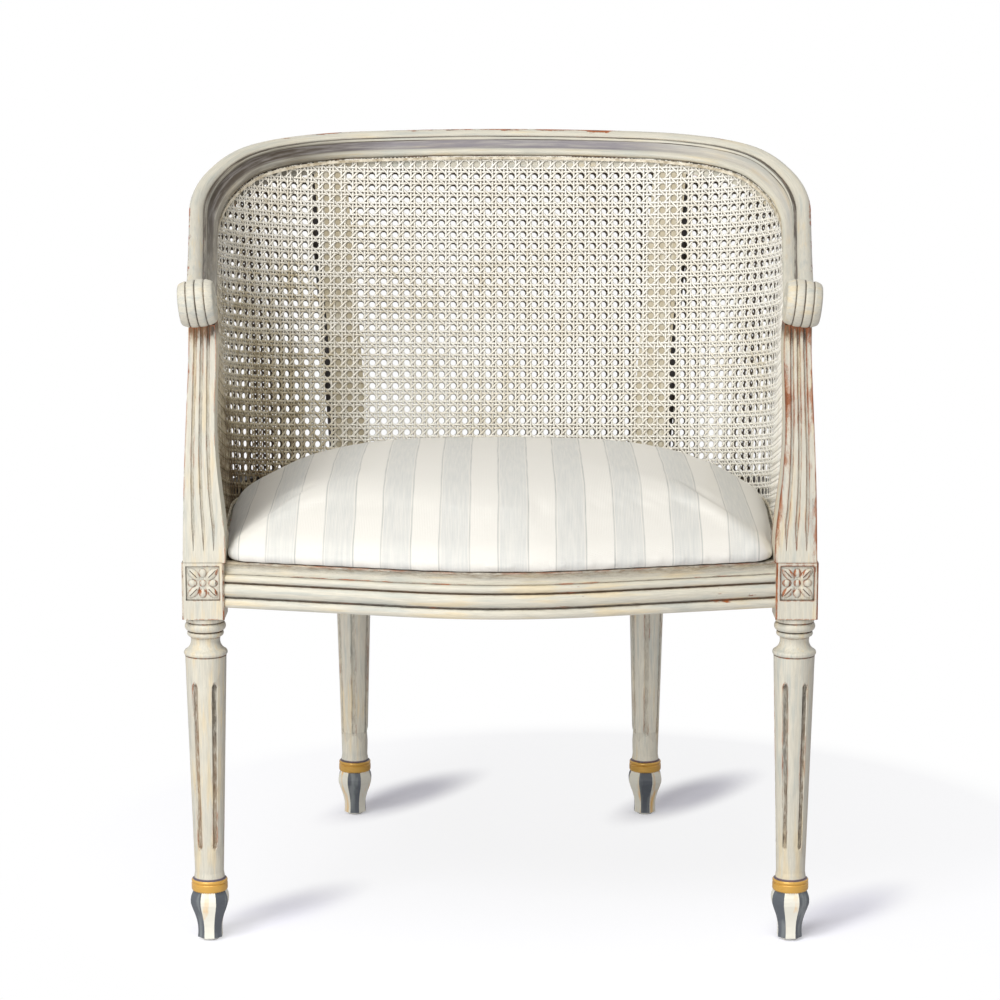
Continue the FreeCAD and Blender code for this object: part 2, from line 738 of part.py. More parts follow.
def seat_webbing():
    """Jute straps over the seat frame, a layer across and a layer front to back."""
    straps = []
    width, thick = 50.0, 1.2
    region = slab(16.0, SEAT_FRAME_TOP, SEAT_FRAME_TOP + 6)
    for k in range(5):
        strap = box(0, 20.0 + 85.0 * k, SEAT_FRAME_TOP + 0.05, 600, width, thick)
        straps.append(strap.common(region))
    for k in range(5):
        strap = box(-170.0 + 85.0 * k, 200, SEAT_FRAME_TOP + thick + 0.1, width, 600, thick)
        straps.append(strap.common(region))
    return Part.makeCompound([s for strap in straps for s in strap.Solids])


# Corner blocks and fasteners
SCREW_LENGTH = 34.0
BLOCK_HEIGHT = 34.0
GLIDE_RADIUS = 9.0


def corner_block(inner_corner, toward_x, toward_y, leg):
    """Triangular glue block in the angle of two rails, trimmed to the rails and the leg."""
    x, y = inner_corner
    corners = [V(x, y, 0), V(x + toward_x, y, 0), V(x, y + toward_y, 0), V(x, y, 0)]
    block = Part.Face(Part.makePolygon(corners)).extrude(V(0, 0, BLOCK_HEIGHT))
    block.translate(V(0, 0, SEAT_RAIL_TOP - BLOCK_HEIGHT))
    return cut(block, *leg)


def largest(shape):
    return max(shape.Solids, key=lambda s: s.Volume)


def glide(x, y):
    """Round nail-in glide with a softened lower edge."""
    r = GLIDE_RADIUS
    return turned([(0, 0), (r - 1.0, 0), (r, 1.0), (r, GLIDE_HEIGHT), (0, GLIDE_HEIGHT)], x, y)


def build():
    """Every sub-part by its node name."""
    parts = {}
    rear_x, rear_y = rear_leg_axis()

    front = front_leg()
    rear = rear_leg()
    arm = arm_rail()
    crest = crest_rail().cut(rear).cut(mirrored(rear))
    front = front.cut(arm)

    front_box = box(FRONT_LEG_X, 0, BLOCK_BOTTOM, BLOCK_SIZE, BLOCK_SIZE, 60)
    rail_front = front_seat_rail().cut(front_box).cut(mirrored(front_box))
    rail_front = largest(rail_front)
    side = largest(seat_rail(U_SEAT_REAR, 2.98).cut(rear).cut(front))
    back = largest(seat_rail(-U_SEAT_REAR, U_SEAT_REAR).cut(rear).cut(mirrored(rear)))

    sill_rear = largest(cane_sill(-U_STILE_FOOT, U_STILE_FOOT).cut(rear).cut(mirrored(rear)))
    sill_side = largest(cane_sill(U_STILE_FOOT, u_at_y(10.0)).cut(rear).cut(front))

    # Dowels across each rail joint, and a tongue across each crest joint
    middle_z = SEAT_RAIL_TOP - SEAT_RAIL_HEIGHT / 2
    dowels = []
    for dz in (-9.0, 9.0):
        dowels.append(rod(V(FRONT_LEG_X - BLOCK_SIZE / 2 - 18, -1.0, middle_z + dz), V(1, 0, 0), 32, 4.0))
        dowels.append(rod(V(FRONT_LEG_X + 1.5, BLOCK_SIZE / 2 - 14, middle_z + dz), V(0, 1, 0), 32, 4.0))
        for turn in (1, -1):
            along = V(math.cos(math.radians(STILE_ANGLE)), -math.sin(math.radians(STILE_ANGLE)), 0) * turn
            start = V(rear_x, rear_y, middle_z + dz) + along * (BLOCK_SIZE / 2 - 13)
            dowels.append(rod(start, along, 28, 4.0))
    post_dowel = rod(V(285.5, 4.0, POST_TOP - 22), V(0, 0, 1), 40, 4.0)
    joint = frame_point(U_JOINT, rail_top(U_JOINT) - 26.0)
    next_point = frame_point(U_JOINT + 0.02, rail_top(U_JOINT + 0.02) - 26.0)
    along = (next_point - joint).normalize()
    tongue = rod(joint - along * 14, along, 28, 4.5)

    for rod_shape in dowels:
        front = front.cut(rod_shape)
        rear = rear.cut(rod_shape)
        side = side.cut(rod_shape)
        back = back.cut(rod_shape).cut(mirrored(rod_shape))
        rail_front = rail_front.cut(rod_shape).cut(mirrored(rod_shape))
    front = front.cut(post_dowel)
    arm = arm.cut(post_dowel).cut(tongue)
    crest = crest.cut(tongue).cut(mirrored(tongue))

    # Corner blocks with their screws
    rails = (front, rear, side, rail_front, back)
    block_front = largest(corner_block((275.0, -12.0), -92.0, 108.0, rails))
    block_rear = largest(corner_block((rear_x + 52.0, rear_y + 10.0), -100.0, -110.0, rails))
    screw_z = middle_z - 11.0
    screw_front = screw(V(239.0, 19.0, screw_z), V(0, 0, 1), SCREW_LENGTH)
    screw_rear = screw(V(rear_x + 20, rear_y - 42, screw_z), V(0, 0, 1), SCREW_LENGTH)

    members = seat_frame()
    seat_screws = [screw_front, mirrored(screw_front), screw_rear, mirrored(screw_rear)]
    block_front = block_front.cut(screw_front)
    block_rear = block_rear.cut(screw_rear)
    for name in members:
        members[name] = cut(members[name], *seat_screws)

    for name, shape in (("front_leg", front), ("rear_leg", rear), ("arm_rail", arm),
                        ("side_seat_rail", side), ("cane_sill", sill_side)):
        parts[name + "_right"] = shape
        parts[name + "_left"] = mirrored(shape)
    parts["crest_rail"] = crest
    parts["front_seat_rail"] = rail_front
    parts["rear_seat_rail"] = back
    parts["cane_sill_rear"] = sill_rear
    parts["inner_cane"] = cane_sheet(-1)
    parts["outer_cane"] = cane_sheet(1)
    parts["inner_cane_splines"] = cane_splines(-1)
    parts["outer_cane_splines"] = cane_splines(1)
    parts["rail_dowels"] = Part.makeCompound(dowels + [mirrored(d) for d in dowels])
    parts["arm_post_dowels"] = Part.makeCompound([post_dowel, mirrored(post_dowel)])
    parts["crest_dowels"] = Part.makeCompound([tongue, mirrored(tongue)])
    blocks = [block_front, mirrored(block_front), block_rear, mirrored(block_rear)]
    parts["corner_blocks"] = Part.makeCompound(blocks)
    parts["seat_screws"] = Part.makeCompound(seat_screws)
    parts.update(members)

    parts["seat_webbing"] = seat_webbing()
    deck_low = SEAT_FRAME_TOP + 2.7
    parts["seat_deck"] = slab(12.0, deck_low, deck_low + 0.8)
    foam = pad_solid(COVER_THICKNESS + 0.2)
    above = box(0, 200, deck_low + 1.0, 800, 900, 200)
    parts["seat_foam"] = foam.common(above)
    parts["seat_cover"] = pad_solid(0.0).cut(pad_solid(COVER_THICKNESS))
    dust = slab(60.0, SEAT_RAIL_TOP - 0.9, SEAT_RAIL_TOP + 0.3)
    parts["dust_cover"] = cut(dust, *parts["corner_blocks"].Solids)

    for name, x, y in (("front_glide", FRONT_LEG_X, 0.0), ("rear_glide", rear_x, rear_y)):
        parts[name + "_right"] = glide(x, y)
        parts[name + "_left"] = glide(-x, y)
    return parts


def main():
    os.makedirs("parts", exist_ok=True)
    for name, shape in build().items():
        shape = shape.copy()
        shape.translate(ORIGIN_SHIFT)
        shape.exportStep("parts/" + name + ".step")
        state = "valid" if shape.isValid() else "INVALID"
        print(name, len(shape.Solids), "solids", round(shape.Volume), "mm3", state)


main()
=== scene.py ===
import json
import math

import bmesh
import bpy
import numpy as np
from bpy.props import FloatProperty, FloatVectorProperty, IntProperty, PointerProperty
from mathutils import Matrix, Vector

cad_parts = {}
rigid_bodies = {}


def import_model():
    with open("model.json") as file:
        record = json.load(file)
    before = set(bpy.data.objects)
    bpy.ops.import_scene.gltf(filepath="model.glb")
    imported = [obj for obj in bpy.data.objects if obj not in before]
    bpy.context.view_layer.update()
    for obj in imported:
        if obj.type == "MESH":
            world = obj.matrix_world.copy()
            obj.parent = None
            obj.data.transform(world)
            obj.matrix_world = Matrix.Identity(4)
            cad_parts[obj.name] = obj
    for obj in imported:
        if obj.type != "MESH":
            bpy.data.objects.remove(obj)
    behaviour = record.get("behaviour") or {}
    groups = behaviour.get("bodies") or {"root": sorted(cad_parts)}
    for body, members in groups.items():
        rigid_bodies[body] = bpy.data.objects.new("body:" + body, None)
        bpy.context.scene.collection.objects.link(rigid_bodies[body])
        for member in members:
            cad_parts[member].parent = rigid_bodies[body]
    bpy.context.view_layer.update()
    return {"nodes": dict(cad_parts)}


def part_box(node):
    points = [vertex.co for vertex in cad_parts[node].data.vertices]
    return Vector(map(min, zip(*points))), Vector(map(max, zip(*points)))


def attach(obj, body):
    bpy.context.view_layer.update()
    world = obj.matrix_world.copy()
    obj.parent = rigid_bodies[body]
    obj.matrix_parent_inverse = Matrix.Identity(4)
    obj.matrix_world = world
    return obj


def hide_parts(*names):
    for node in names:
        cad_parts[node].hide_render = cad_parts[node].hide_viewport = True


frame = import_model()

bl_info = {
    "name": "Caned Barrel Armchair",
    "version": (1, 0, 0),
    "blender": (4, 5, 0),
    "location": "View3D > Sidebar > Armchair",
    "description": "Painted frame, woven cane, padded seat and studio for a barrel-back armchair",
    "category": "Object",
}

# The tub, in millimetres. Half width at the front, opening per millimetre going back, back radius,
# corner radius and middle of the back, for the seat and for the top rail. Y is 0 at the front legs.
SEAT_PLAN = {"front_x": 288.0, "slope": 0.033, "back_r": 840.0, "corner_r": 200.0, "back_y": 476.0}
TOP_PLAN = {"front_x": 286.0, "slope": 0.09, "back_r": 1040.0, "corner_r": 185.7, "back_y": 528.5}
ARM_SWEEP = [(-20, 657.5), (60, 662), (200, 678), (300, 698), (390, 733), (450, 756), (530, 771.5)]
SEAT_RAIL_TOP = 384.0
CANE_GAP = 21.0
CANE_THICKNESS = 1.7
CANE_TOP_DROP = 28.6
CANE_FRONT_Y = 21.0
RAIL_HALF = 14.5
RAIL_DEPTH = 42.0
JOINT_ANGLE = 40.5
RAIL_FRONT_Y = -8.0
SHIFT_Y = -234.9
FRONT_LEG_X = 288.0
REAR_LEG_X = 165.0
FOOT_TOP = 51.0
RING_TOP = 62.5
LINE_TOP = 64.2
SHAFT_LOW = (14.3, 70.0)
SHAFT_HIGH = (20.2, 288.5)
FLUTE_ENDS = (89.0, 269.0)
FLUTE_SINK = 0.7
BLOCK_BOTTOM = 328.0
POST_TOP = 616.0
SCROLL_CENTRE = (289.0, -15.0, 636.0)
SCROLL_RADIUS = 23.0
SCROLL_WIDTH = 34.0
SCROLL_TILT = 6.0
SCROLL_GROOVE = 1.3
SCROLL_ROUNDING = 3.6
SCROLL_REEDS = 4
SCROLL_SIDES = 72
# How far past the barrel's end, and radius
SCROLL_BUTTON = ((1.0, 0.0), (1.0, 3.6), (0.5, 4.6), (-0.4, 5.6), (-0.4, 7.6), (0.0, 9.0),
                 (0.0, 14.5), (-0.5, 17.0))
# Two corners of the block between an arm and its post
POST_HEAD = ((272.9, -9.2, 616.2), (297.4, 16.8, 640.0))
# Distance between two stations along the top rail, and along a sheet of cane
RAIL_STEP = 7.0
CANE_STEP = 2.5

# Inputs of the Mix node for two colours, and the settings and output that go with them
FACTOR, FIRST, SECOND = 0, 6, 7
RGBA = {"data_type": "RGBA", "out": 2}


# Small helpers
def linear(code):
    """Linear RGBA from an sRGB hex value."""
    shares = [int(code[i:i + 2], 16) / 255 for i in (1, 3, 5)]
    return *(c / 12.92 if c <= 0.04045 else ((c + 0.055) / 1.055) ** 2.4 for c in shares), 1.0


def colour(name, description, code):
    return FloatVectorProperty(name=name, description=description, default=linear(code), size=4,
                               min=0.0, max=1.0, subtype="COLOR")


def length(name, description, default):
    return FloatProperty(name=name, description=description, default=default, min=0.0,
                         unit="LENGTH")


def power(name, description, default):
    return FloatProperty(name=name, description=description, default=default, unit="POWER")


def feed(node, inputs):
    """Set or link a node's inputs: a dict by name or number, or a tuple in the node's order."""
    pairs = inputs.items() if isinstance(inputs, dict) else enumerate(inputs)
    for name, value in pairs:
        if isinstance(value, bpy.types.NodeSocket):
            node.id_data.links.new(value, node.inputs[name])
        else:
            node.inputs[name].default_value = value


def add(tree, kind, inputs=(), ramp=None, out=0, **settings):
    """Add a shader node with its inputs, colour ramp and settings, and return what out picks."""
    node = tree.nodes.new("ShaderNode" + kind)
    for name, value in settings.items():
        setattr(node, name, value)
    if ramp:
        stops = node.color_ramp.elements
        stops[0].position, stops[0].color = ramp[0]
        stops[1].position, stops[1].color = ramp[-1]
        for place, shade in ramp[1:-1]:
            stops.new(place).color = shade
    feed(node, inputs)
    return node.outputs[out]


def new_material(name, sockets):
    """A material with its principled shader's constant sockets set."""
    made = bpy.data.materials.new(name)
    made.use_nodes = True
    shader = made.node_tree.nodes["Principled BSDF"]
    feed(shader, sockets)
    return made, made.node_tree, shader


def millimetres(tree, stretch=(1, 1, 1)):
    """Object coordinates in millimetres, divided by a stretch along each axis."""
    spot = add(tree, "TexCoord", out="Object")
    scale = tuple(1000.0 / s for s in stretch)
    return add(tree, "Mapping", {"Vector": spot, "Scale": scale})


def mesh_object(name, points, faces, smooth=True):
    """New object from points in millimetres, with Y measured from the front legs."""
    mesh = bpy.data.meshes.new(name)
    moved = np.array(points, float) + (0, SHIFT_Y, 0)
    mesh.from_pydata((moved / 1000.0).tolist(), [], faces)
    mesh.update()
    if smooth:
        mesh.shade_smooth()
    made = bpy.data.objects.new(name, mesh)
    bpy.context.scene.collection.objects.link(made)
    return made


def point_attribute(piece, name, values):
    """Store a vector for each point of a piece."""
    layer = piece.data.attributes.new(name, "FLOAT_VECTOR", "POINT")
    layer.data.foreach_set("vector", np.array(values, np.float32).ravel())


def only(piece):
    """Select one object alone and make it the active one."""
    bpy.ops.object.select_all(action="DESELECT")
    piece.select_set(True)
    bpy.context.view_layer.objects.active = piece


def finish_piece(piece, material, slot, *nodes):
    """Dress a finished piece, let it ride on the chair and stand for the named nodes."""
    coat(piece, material)
    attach(piece, "root")
    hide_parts(*nodes)


def coat(piece, *materials):
    """Give a piece its materials, in place of any that it had."""
    piece.data.materials.clear()
    for material in materials:
        piece.data.materials.append(material)


def tube_faces(rings, around, base=0):
    """Faces of a tube made of rings of points numbered from base, with both ends closed."""
    end = base + (rings - 1) * around
    faces = [tuple(range(base, base + around))[::-1], tuple(range(end, end + around))]
    for start in range(base, end, around):
        for k in range(around):
            j = (k + 1) % around
            faces.append((start + k, start + j, start + around + j, start + around + k))
    return faces


# Shape of the tub
def solve_plan(plan):
    """Corner centre, angles and side direction of a plan made of a back arc, corners and sides."""
    size = math.hypot(plan["slope"], 1.0)
    along = (plan["slope"] / size, 1.0 / size)
    normal = (1.0 / size, -plan["slope"] / size)
    ax = plan["front_x"] - plan["corner_r"] * normal[0]
    ay = -plan["corner_r"] * normal[1] - (plan["back_y"] - plan["back_r"])
    reach = plan["back_r"] - plan["corner_r"]
    b = ax * along[0] + ay * along[1]
    side = -b + math.sqrt(b * b - ax * ax - ay * ay + reach * reach)
    centre = (ax + side * along[0], ay + side * along[1] + plan["back_y"] - plan["back_r"])
    return {
        "centre": centre,
        "back_angle": math.atan2(centre[0], centre[1] - plan["back_y"] + plan["back_r"]),
        "side_angle": math.atan2(normal[0], normal[1]),
        "side": side,
        "along": along,
        "normal": normal,
    }


SEAT_SOLVED = solve_plan(SEAT_PLAN)
TOP_SOLVED = solve_plan(TOP_PLAN)


def plan_point(plan, solved, u):
    """Point and outward normal of a plan: 0 is the back, 1 and 2 end the arcs, 3 is the front."""
    sign = -1.0 if u < 0 else 1.0
    u = abs(u)
    if u <= 1.0:
        angle = solved["back_angle"] * u
        nx, ny = math.sin(angle), math.cos(angle)
        x, y = plan["back_r"] * nx, plan["back_y"] - plan["back_r"] + plan["back_r"] * ny
    elif u <= 2.0:
        angle = solved["back_angle"] + (solved["side_angle"] - solved["back_angle"]) * (u - 1.0)
        nx, ny = math.sin(angle), math.cos(angle)
        x = solved["centre"][0] + plan["corner_r"] * nx
        y = solved["centre"][1] + plan["corner_r"] * ny
    else:
        rest = solved["side"] * (3.0 - u)
        x, y = plan["front_x"] + rest * solved["along"][0], rest * solved["along"][1]
        nx, ny = solved["normal"]
    return sign * x, y, sign * nx, ny


def rail_height(y):
    """Top of the top rail at a distance behind the front legs, smooth through ARM_SWEEP."""
    knots = ARM_SWEEP
    last = len(knots) - 1
    y = min(max(y, knots[0][0]), knots[last][0])
    k = max(i for i in range(last) if knots[i][0] <= y)
    slopes = []
    for i in (k, k + 1):
        low, high = max(i - 1, 0), min(i + 1, last)
        slopes.append((knots[high][1] - knots[low][1]) / (knots[high][0] - knots[low][0]))
    span = knots[k + 1][0] - knots[k][0]
    t = (y - knots[k][0]) / span
    start = (2 * t**3 - 3 * t**2 + 1) * knots[k][1] + (t**3 - 2 * t**2 + t) * span * slopes[0]
    return start + (3 * t**2 - 2 * t**3) * knots[k + 1][1] + (t**3 - t**2) * span * slopes[1]


def station(u):
    """Everything about the tub at one station: top and foot points, normal and rail height."""
    x, y, nx, ny = plan_point(TOP_PLAN, TOP_SOLVED, u)
    low, high = u - 1.5, u + 1.5
    for _ in range(40):
        middle = (low + high) / 2
        bx, by = plan_point(SEAT_PLAN, SEAT_SOLVED, middle)[:2]
        if (bx - x) * ny - (by - y) * nx < 0:
            low = middle
        else:
            high = middle
    return {"top": (x, y), "foot": (bx, by), "normal": (nx, ny), "height": rail_height(y)}


def tub_point(at, z, offset):
    """Point on the raked surface of the tub at a station, moved outward by offset."""
    t = (z - SEAT_RAIL_TOP) / (at["height"] - SEAT_RAIL_TOP)
    x = at["foot"][0] + (at["top"][0] - at["foot"][0]) * t + at["normal"][0] * offset
    y = at["foot"][1] + (at["top"][1] - at["foot"][1]) * t + at["normal"][1] * offset
    return (x, y, z)


def run_at(u):
    """Distance along the top rail from the middle of the back."""
    back = TOP_PLAN["back_r"] * TOP_SOLVED["back_angle"]
    corner = TOP_PLAN["corner_r"] * (TOP_SOLVED["side_angle"] - TOP_SOLVED["back_angle"])
    far = abs(u)
    run = back * min(far, 1.0)
    run += corner * min(max(far - 1.0, 0.0), 1.0)
    run += TOP_SOLVED["side"] * max(far - 2.0, 0.0)
    return math.copysign(run, u)


def even_stations(first, last, spacing):
    """Stations from first to last, evenly spaced along the top rail."""
    fine = np.linspace(first, last, 2000)
    runs = np.array([run_at(u) for u in fine])
    count = max(2, round((runs[-1] - runs[0]) / spacing))
    return np.interp(np.linspace(runs[0], runs[-1], count + 1), runs, fine).tolist()


def u_at_y(y):
    """Station on a side of the top rail at a distance behind the front legs."""
    return 3.0 - y / TOP_SOLVED["along"][1] / TOP_SOLVED["side"]


U_JOINT = 1.0 + (math.radians(JOINT_ANGLE) - TOP_SOLVED["back_angle"]) / (
    TOP_SOLVED["side_angle"] - TOP_SOLVED["back_angle"])
U_CANE_END = u_at_y(CANE_FRONT_Y)


# Moulded rails
def round_through(start, middle, end, steps=7):
    """Points on the arc from start through middle to end, without the start."""
    (ax, ay), (bx, by), (cx, cy) = start, middle, end
    d = 2 * (ax * (by - cy) + bx * (cy - ay) + cx * (ay - by))
    a2, b2, c2 = ax * ax + ay * ay, bx * bx + by * by, cx * cx + cy * cy
    ox = (a2 * (by - cy) + b2 * (cy - ay) + c2 * (ay - by)) / d
    oy = (a2 * (cx - bx) + b2 * (ax - cx) + c2 * (bx - ax)) / d
    first = math.atan2(ay - oy, ax - ox)
    turn = (math.atan2(cy - oy, cx - ox) - first) % (2 * math.pi)
    if (math.atan2(by - oy, bx - ox) - first) % (2 * math.pi) > turn:
        turn -= 2 * math.pi
    r = math.hypot(ax - ox, ay - oy)
    angles = [first + turn * k / steps for k in range(1, steps + 1)]
    return [(ox + r * math.cos(a), oy + r * math.sin(a)) for a in angles]


def outline(moves):
    """Points of a section: a pair is a corner, two pairs an arc through the first to the second."""
    points = [moves[0]]
    for move in moves[1:]:
        if isinstance(move[0], tuple):
            points += round_through(points[-1], move[0], move[1])
        else:
            points.append(move)
    return points


def sweep(name, moves, us):
    """Sweep a section of the top rail through stations, and keep where each point lies in it."""
    section = outline(moves)
    points, where = [], []
    for u in us:
        at = station(u)
        for offset, z in section:
            points.append(tub_point(at, at["height"] + z, offset))
            where.append((offset, z, run_at(u)))
    piece = mesh_object(name, points, tube_faces(len(us), len(section)))
    point_attribute(piece, "section", where)
    outward(piece)
    bpy.ops.object.shade_smooth_by_angle(angle=math.radians(40))
    return piece


def outward(piece):
    """Turn the faces of a closed piece outwards."""
    only(piece)
    bpy.ops.object.mode_set(mode="EDIT")
    bpy.ops.mesh.select_all(action="SELECT")
    bpy.ops.mesh.normals_make_consistent(inside=False)
    bpy.ops.object.mode_set(mode="OBJECT")


CORE = CANE_GAP / 2 - 0.2
# Offset outwards and height below the top of the rail
TOP_SECTION = [
    (CORE, -RAIL_DEPTH),
    (CORE, -CANE_TOP_DROP),
    (13.2, -CANE_TOP_DROP + 0.1),
    ((14.4, -26.2), (13.4, -23.9)),
    ((13.5, -23.2), (14.1, -22.9)),
    (RAIL_HALF, -22.4),
    (RAIL_HALF, -7.4),
    ((12.9, -2.4), (8.5, -0.3)),
    ((3.6, -1.5), (-0.3, -6.4)),
    (-0.5, -7.6),
    (-1.0, -7.9),
    ((-3.4, -8.2), (-4.3, -10.6)),
    (-4.4, -11.3),
    ((-5.9, -16.9), (-10.6, -20.4)),
    (-11.3, -21.0),
    ((-14.4, -24.4), (-12.6, -27.6)),
    (-12.0, -CANE_TOP_DROP),
    (-CORE, -CANE_TOP_DROP),
    (-CORE, -RAIL_DEPTH),
]


# Woven cane
class Sheet:
    """A cane sheet laid out flat, by its rulings: each has a foot and a tip, in space and flat."""

    def __init__(self, side, shift):
        self.side = side
        self.shift = shift
        offset = side * (CANE_GAP / 2 + CANE_THICKNESS / 2)
        us = even_stations(0.0, U_CANE_END, CANE_STEP)
        foot, tip, normal = [], [], []
        for u in us:
            at = station(u)
            foot.append(tub_point(at, SEAT_RAIL_TOP + 1.0, offset))
            tip.append(tub_point(at, at["height"] - CANE_TOP_DROP - 0.4, offset))
            normal.append((at["normal"][0], at["normal"][1], 0.0))
        self.foot, self.tip = np.array(foot), np.array(tip)
        self.normal = np.array(normal) * side
        self.flat_foot, self.flat_tip = self.unroll()
        self.last = len(us) - 1

    def unroll(self):
        """Lay the surface flat, one narrow strip after another, from the middle of the back."""
        feet = [np.array((0.0, 0.0))]
        tips = [np.array((0.0, np.linalg.norm(self.tip[0] - self.foot[0])))]
        for i in range(1, len(self.foot)):
            foot, tip = self.foot[i], self.tip[i - 1]
            feet.append(third_corner(feet[-1], tips[-1], self.foot[i - 1], tip, foot))
            tips.append(third_corner(feet[-1], tips[-1], foot, tip, self.tip[i]))
        return np.array(feet), np.array(tips)

    def locate(self, flat):
        """Ruling before each flat point, share of the way to the next and height up the ruling."""
        a, b = np.abs(flat[:, 0] + self.shift[0]), flat[:, 1] + self.shift[1]
        run = self.flat_tip - self.flat_foot

        def beyond(i):
            return run[i, 1] * (a - self.flat_foot[i, 0]) - run[i, 0] * (b - self.flat_foot[i, 1])

        low, high = np.zeros(len(a), int), np.full(len(a), self.last)
        for _ in range(12):
            middle = (low + high) // 2
            right = beyond(middle) > 0
            low, high = np.where(right, middle, low), np.where(right, high, middle)
        low = np.minimum(low, self.last - 1)
        near, far = beyond(low), beyond(low + 1)
        share = near / (near - far)
        base, top = (ends[low] + (ends[low + 1] - ends[low]) * share[:, None]
                     for ends in (self.flat_foot, self.flat_tip))
        rise = ((np.stack((a, b), 1) - base) * (top - base)).sum(1) / ((top - base) ** 2).sum(1)
        return low, share, rise

    def inside(self, flat):
        """Positive where a flat point lies on the sheet, falling through 0 at its edges."""
        low, share, rise = self.locate(flat)
        return np.minimum(np.minimum(rise, 1 - rise) * 300.0, (self.last - low - share) * CANE_STEP)

    def place(self, flat, height):
        """Points in space of flat points, raised from the sheet by height."""
        low, share, rise = self.locate(flat)
        foot, tip, normal = (ends[low] + (ends[low + 1] - ends[low]) * share[:, None]
                             for ends in (self.foot, self.tip, self.normal))
        points = foot + (tip - foot) * rise[:, None] + normal * height[:, None]
        points[:, 0] *= np.where(flat[:, 0] + self.shift[0] < 0, -1.0, 1.0)
        return points


def third_corner(flat_foot, flat_tip, foot, tip, point):
    """Flat place of a point from its distances to two points whose flat places are known."""
    base = flat_tip - flat_foot
    size = np.linalg.norm(base)
    d1, d2 = np.linalg.norm(point - foot), np.linalg.norm(point - tip)
    along = (d1 * d1 - d2 * d2 + size * size) / (2 * size)
    across = math.sqrt(max(d1 * d1 - along * along, 0.0))
    unit = base / size
    return flat_foot + unit * along + np.array((unit[1], -unit[0])) * across


def strands(sheet, cane, first, last):
    """Every strand between two columns of holes: start, step, and marks and heights along it."""
    p = cane.pitch * 1000
    g = cane.pair_offset * 1000
    t = cane.strand_thickness * 1000
    floor = math.floor(min(sheet.flat_foot[:, 1].min(), 0.0) / p) - 1
    roof = math.ceil(max(sheet.flat_tip[:, 1].max(), 0.0) / p) + 1
    found = []
    for k in range(first, last):
        for way in (-1, 1):
            marks, heights = [], []
            for m in range(floor, roof):
                marks += [m * p, (m + 0.5) * p - g, (m + 0.5) * p + g]
                heights += [0.0, -0.5 * t * way, 0.5 * t * way]
            found.append((((k + 0.5) * p + way * g, 0.0), (0.0, 1.0), marks, heights))
    for m in range(floor, roof):
        for way in (-1, 1):
            marks, heights = [], []
            for k in range(first, last):
                marks += [k * p, (k + 0.5) * p - g, (k + 0.5) * p + g]
                heights += [0.0, 0.5 * t * way, -0.5 * t * way]
            marks.append(last * p)
            heights.append(0.0)
            found.append(((0.0, (m + 0.5) * p + way * g), (1.0, 0.0), marks, heights))
    span = roof - floor
    for way in (1, -1):
        for k in range(first - span, last + span):
            marks, heights = [], []
            for q in range(first * 4, last * 4 + 1):
                marks.append(q * p / 4)
                heights.append(way * t * (0.0 if q % 2 else (1.0 if q % 4 else -1.0)))
            found.append(((0.0, way * -(k + 0.5) * p), (1.0, float(way)), marks, heights))
    return found


def trimmed(sheet, start, step, marks, heights):
    """Runs of one strand's points that lie on the sheet, cut off exactly at its edges."""
    marks, heights = np.array(marks), np.array(heights)
    line = np.array(start) + marks[:, None] * np.array(step)
    depth = sheet.inside(line)
    runs, run = [], []
    for i in range(len(marks)):
        if depth[i] >= 0:
            if not run and i and depth[i - 1] < 0:
                run.append(crossing(marks, heights, depth, i, i - 1))
            run.append((marks[i], heights[i]))
        if run and (depth[i] < 0 or i == len(marks) - 1):
            if depth[i] < 0:
                run.append(crossing(marks, heights, depth, i - 1, i))
            runs.append(run)
            run = []
    return [r for r in runs if len(r) > 1]


def crossing(marks, heights, depth, i, j):
    """Mark and height where a strand passes the sheet's edge between two of its points."""
    share = depth[i] / (depth[i] - depth[j])
    return marks[i] + (marks[j] - marks[i]) * share, heights[i] + (heights[j] - heights[i]) * share


def weave(name, sheet, cane, first, last, seed):
    """One stretch of a woven sheet: every strand is a closed ribbon with a raised middle."""
    random = np.random.RandomState(seed)
    half = cane.strand_width * 500
    lift = cane.strand_thickness * 500
    flat, height, strand, faces = [], [], [], []
    for start, step, marks, heights in strands(sheet, cane, first, last):
        size = math.hypot(*step)
        across = np.array((-step[1], step[0])) / size
        tone = random.rand()
        for run in trimmed(sheet, start, step, marks, heights):
            base = len(flat)
            for mark, h in run:
                x, y = start[0] + step[0] * mark, start[1] + step[1] * mark
                for side, up in ((1, 0), (0, 1), (-1, 0), (0, -1)):
                    flat.append((x + across[0] * side * half, y + across[1] * side * half))
                    height.append(h + up * lift)
                    strand.append((mark * size, up, tone))
            faces += tube_faces(len(run), 4, base)
    points = sheet.place(np.array(flat), np.array(height))
    piece = mesh_object(name, points, faces)
    point_attribute(piece, "strand", strand)
    return piece


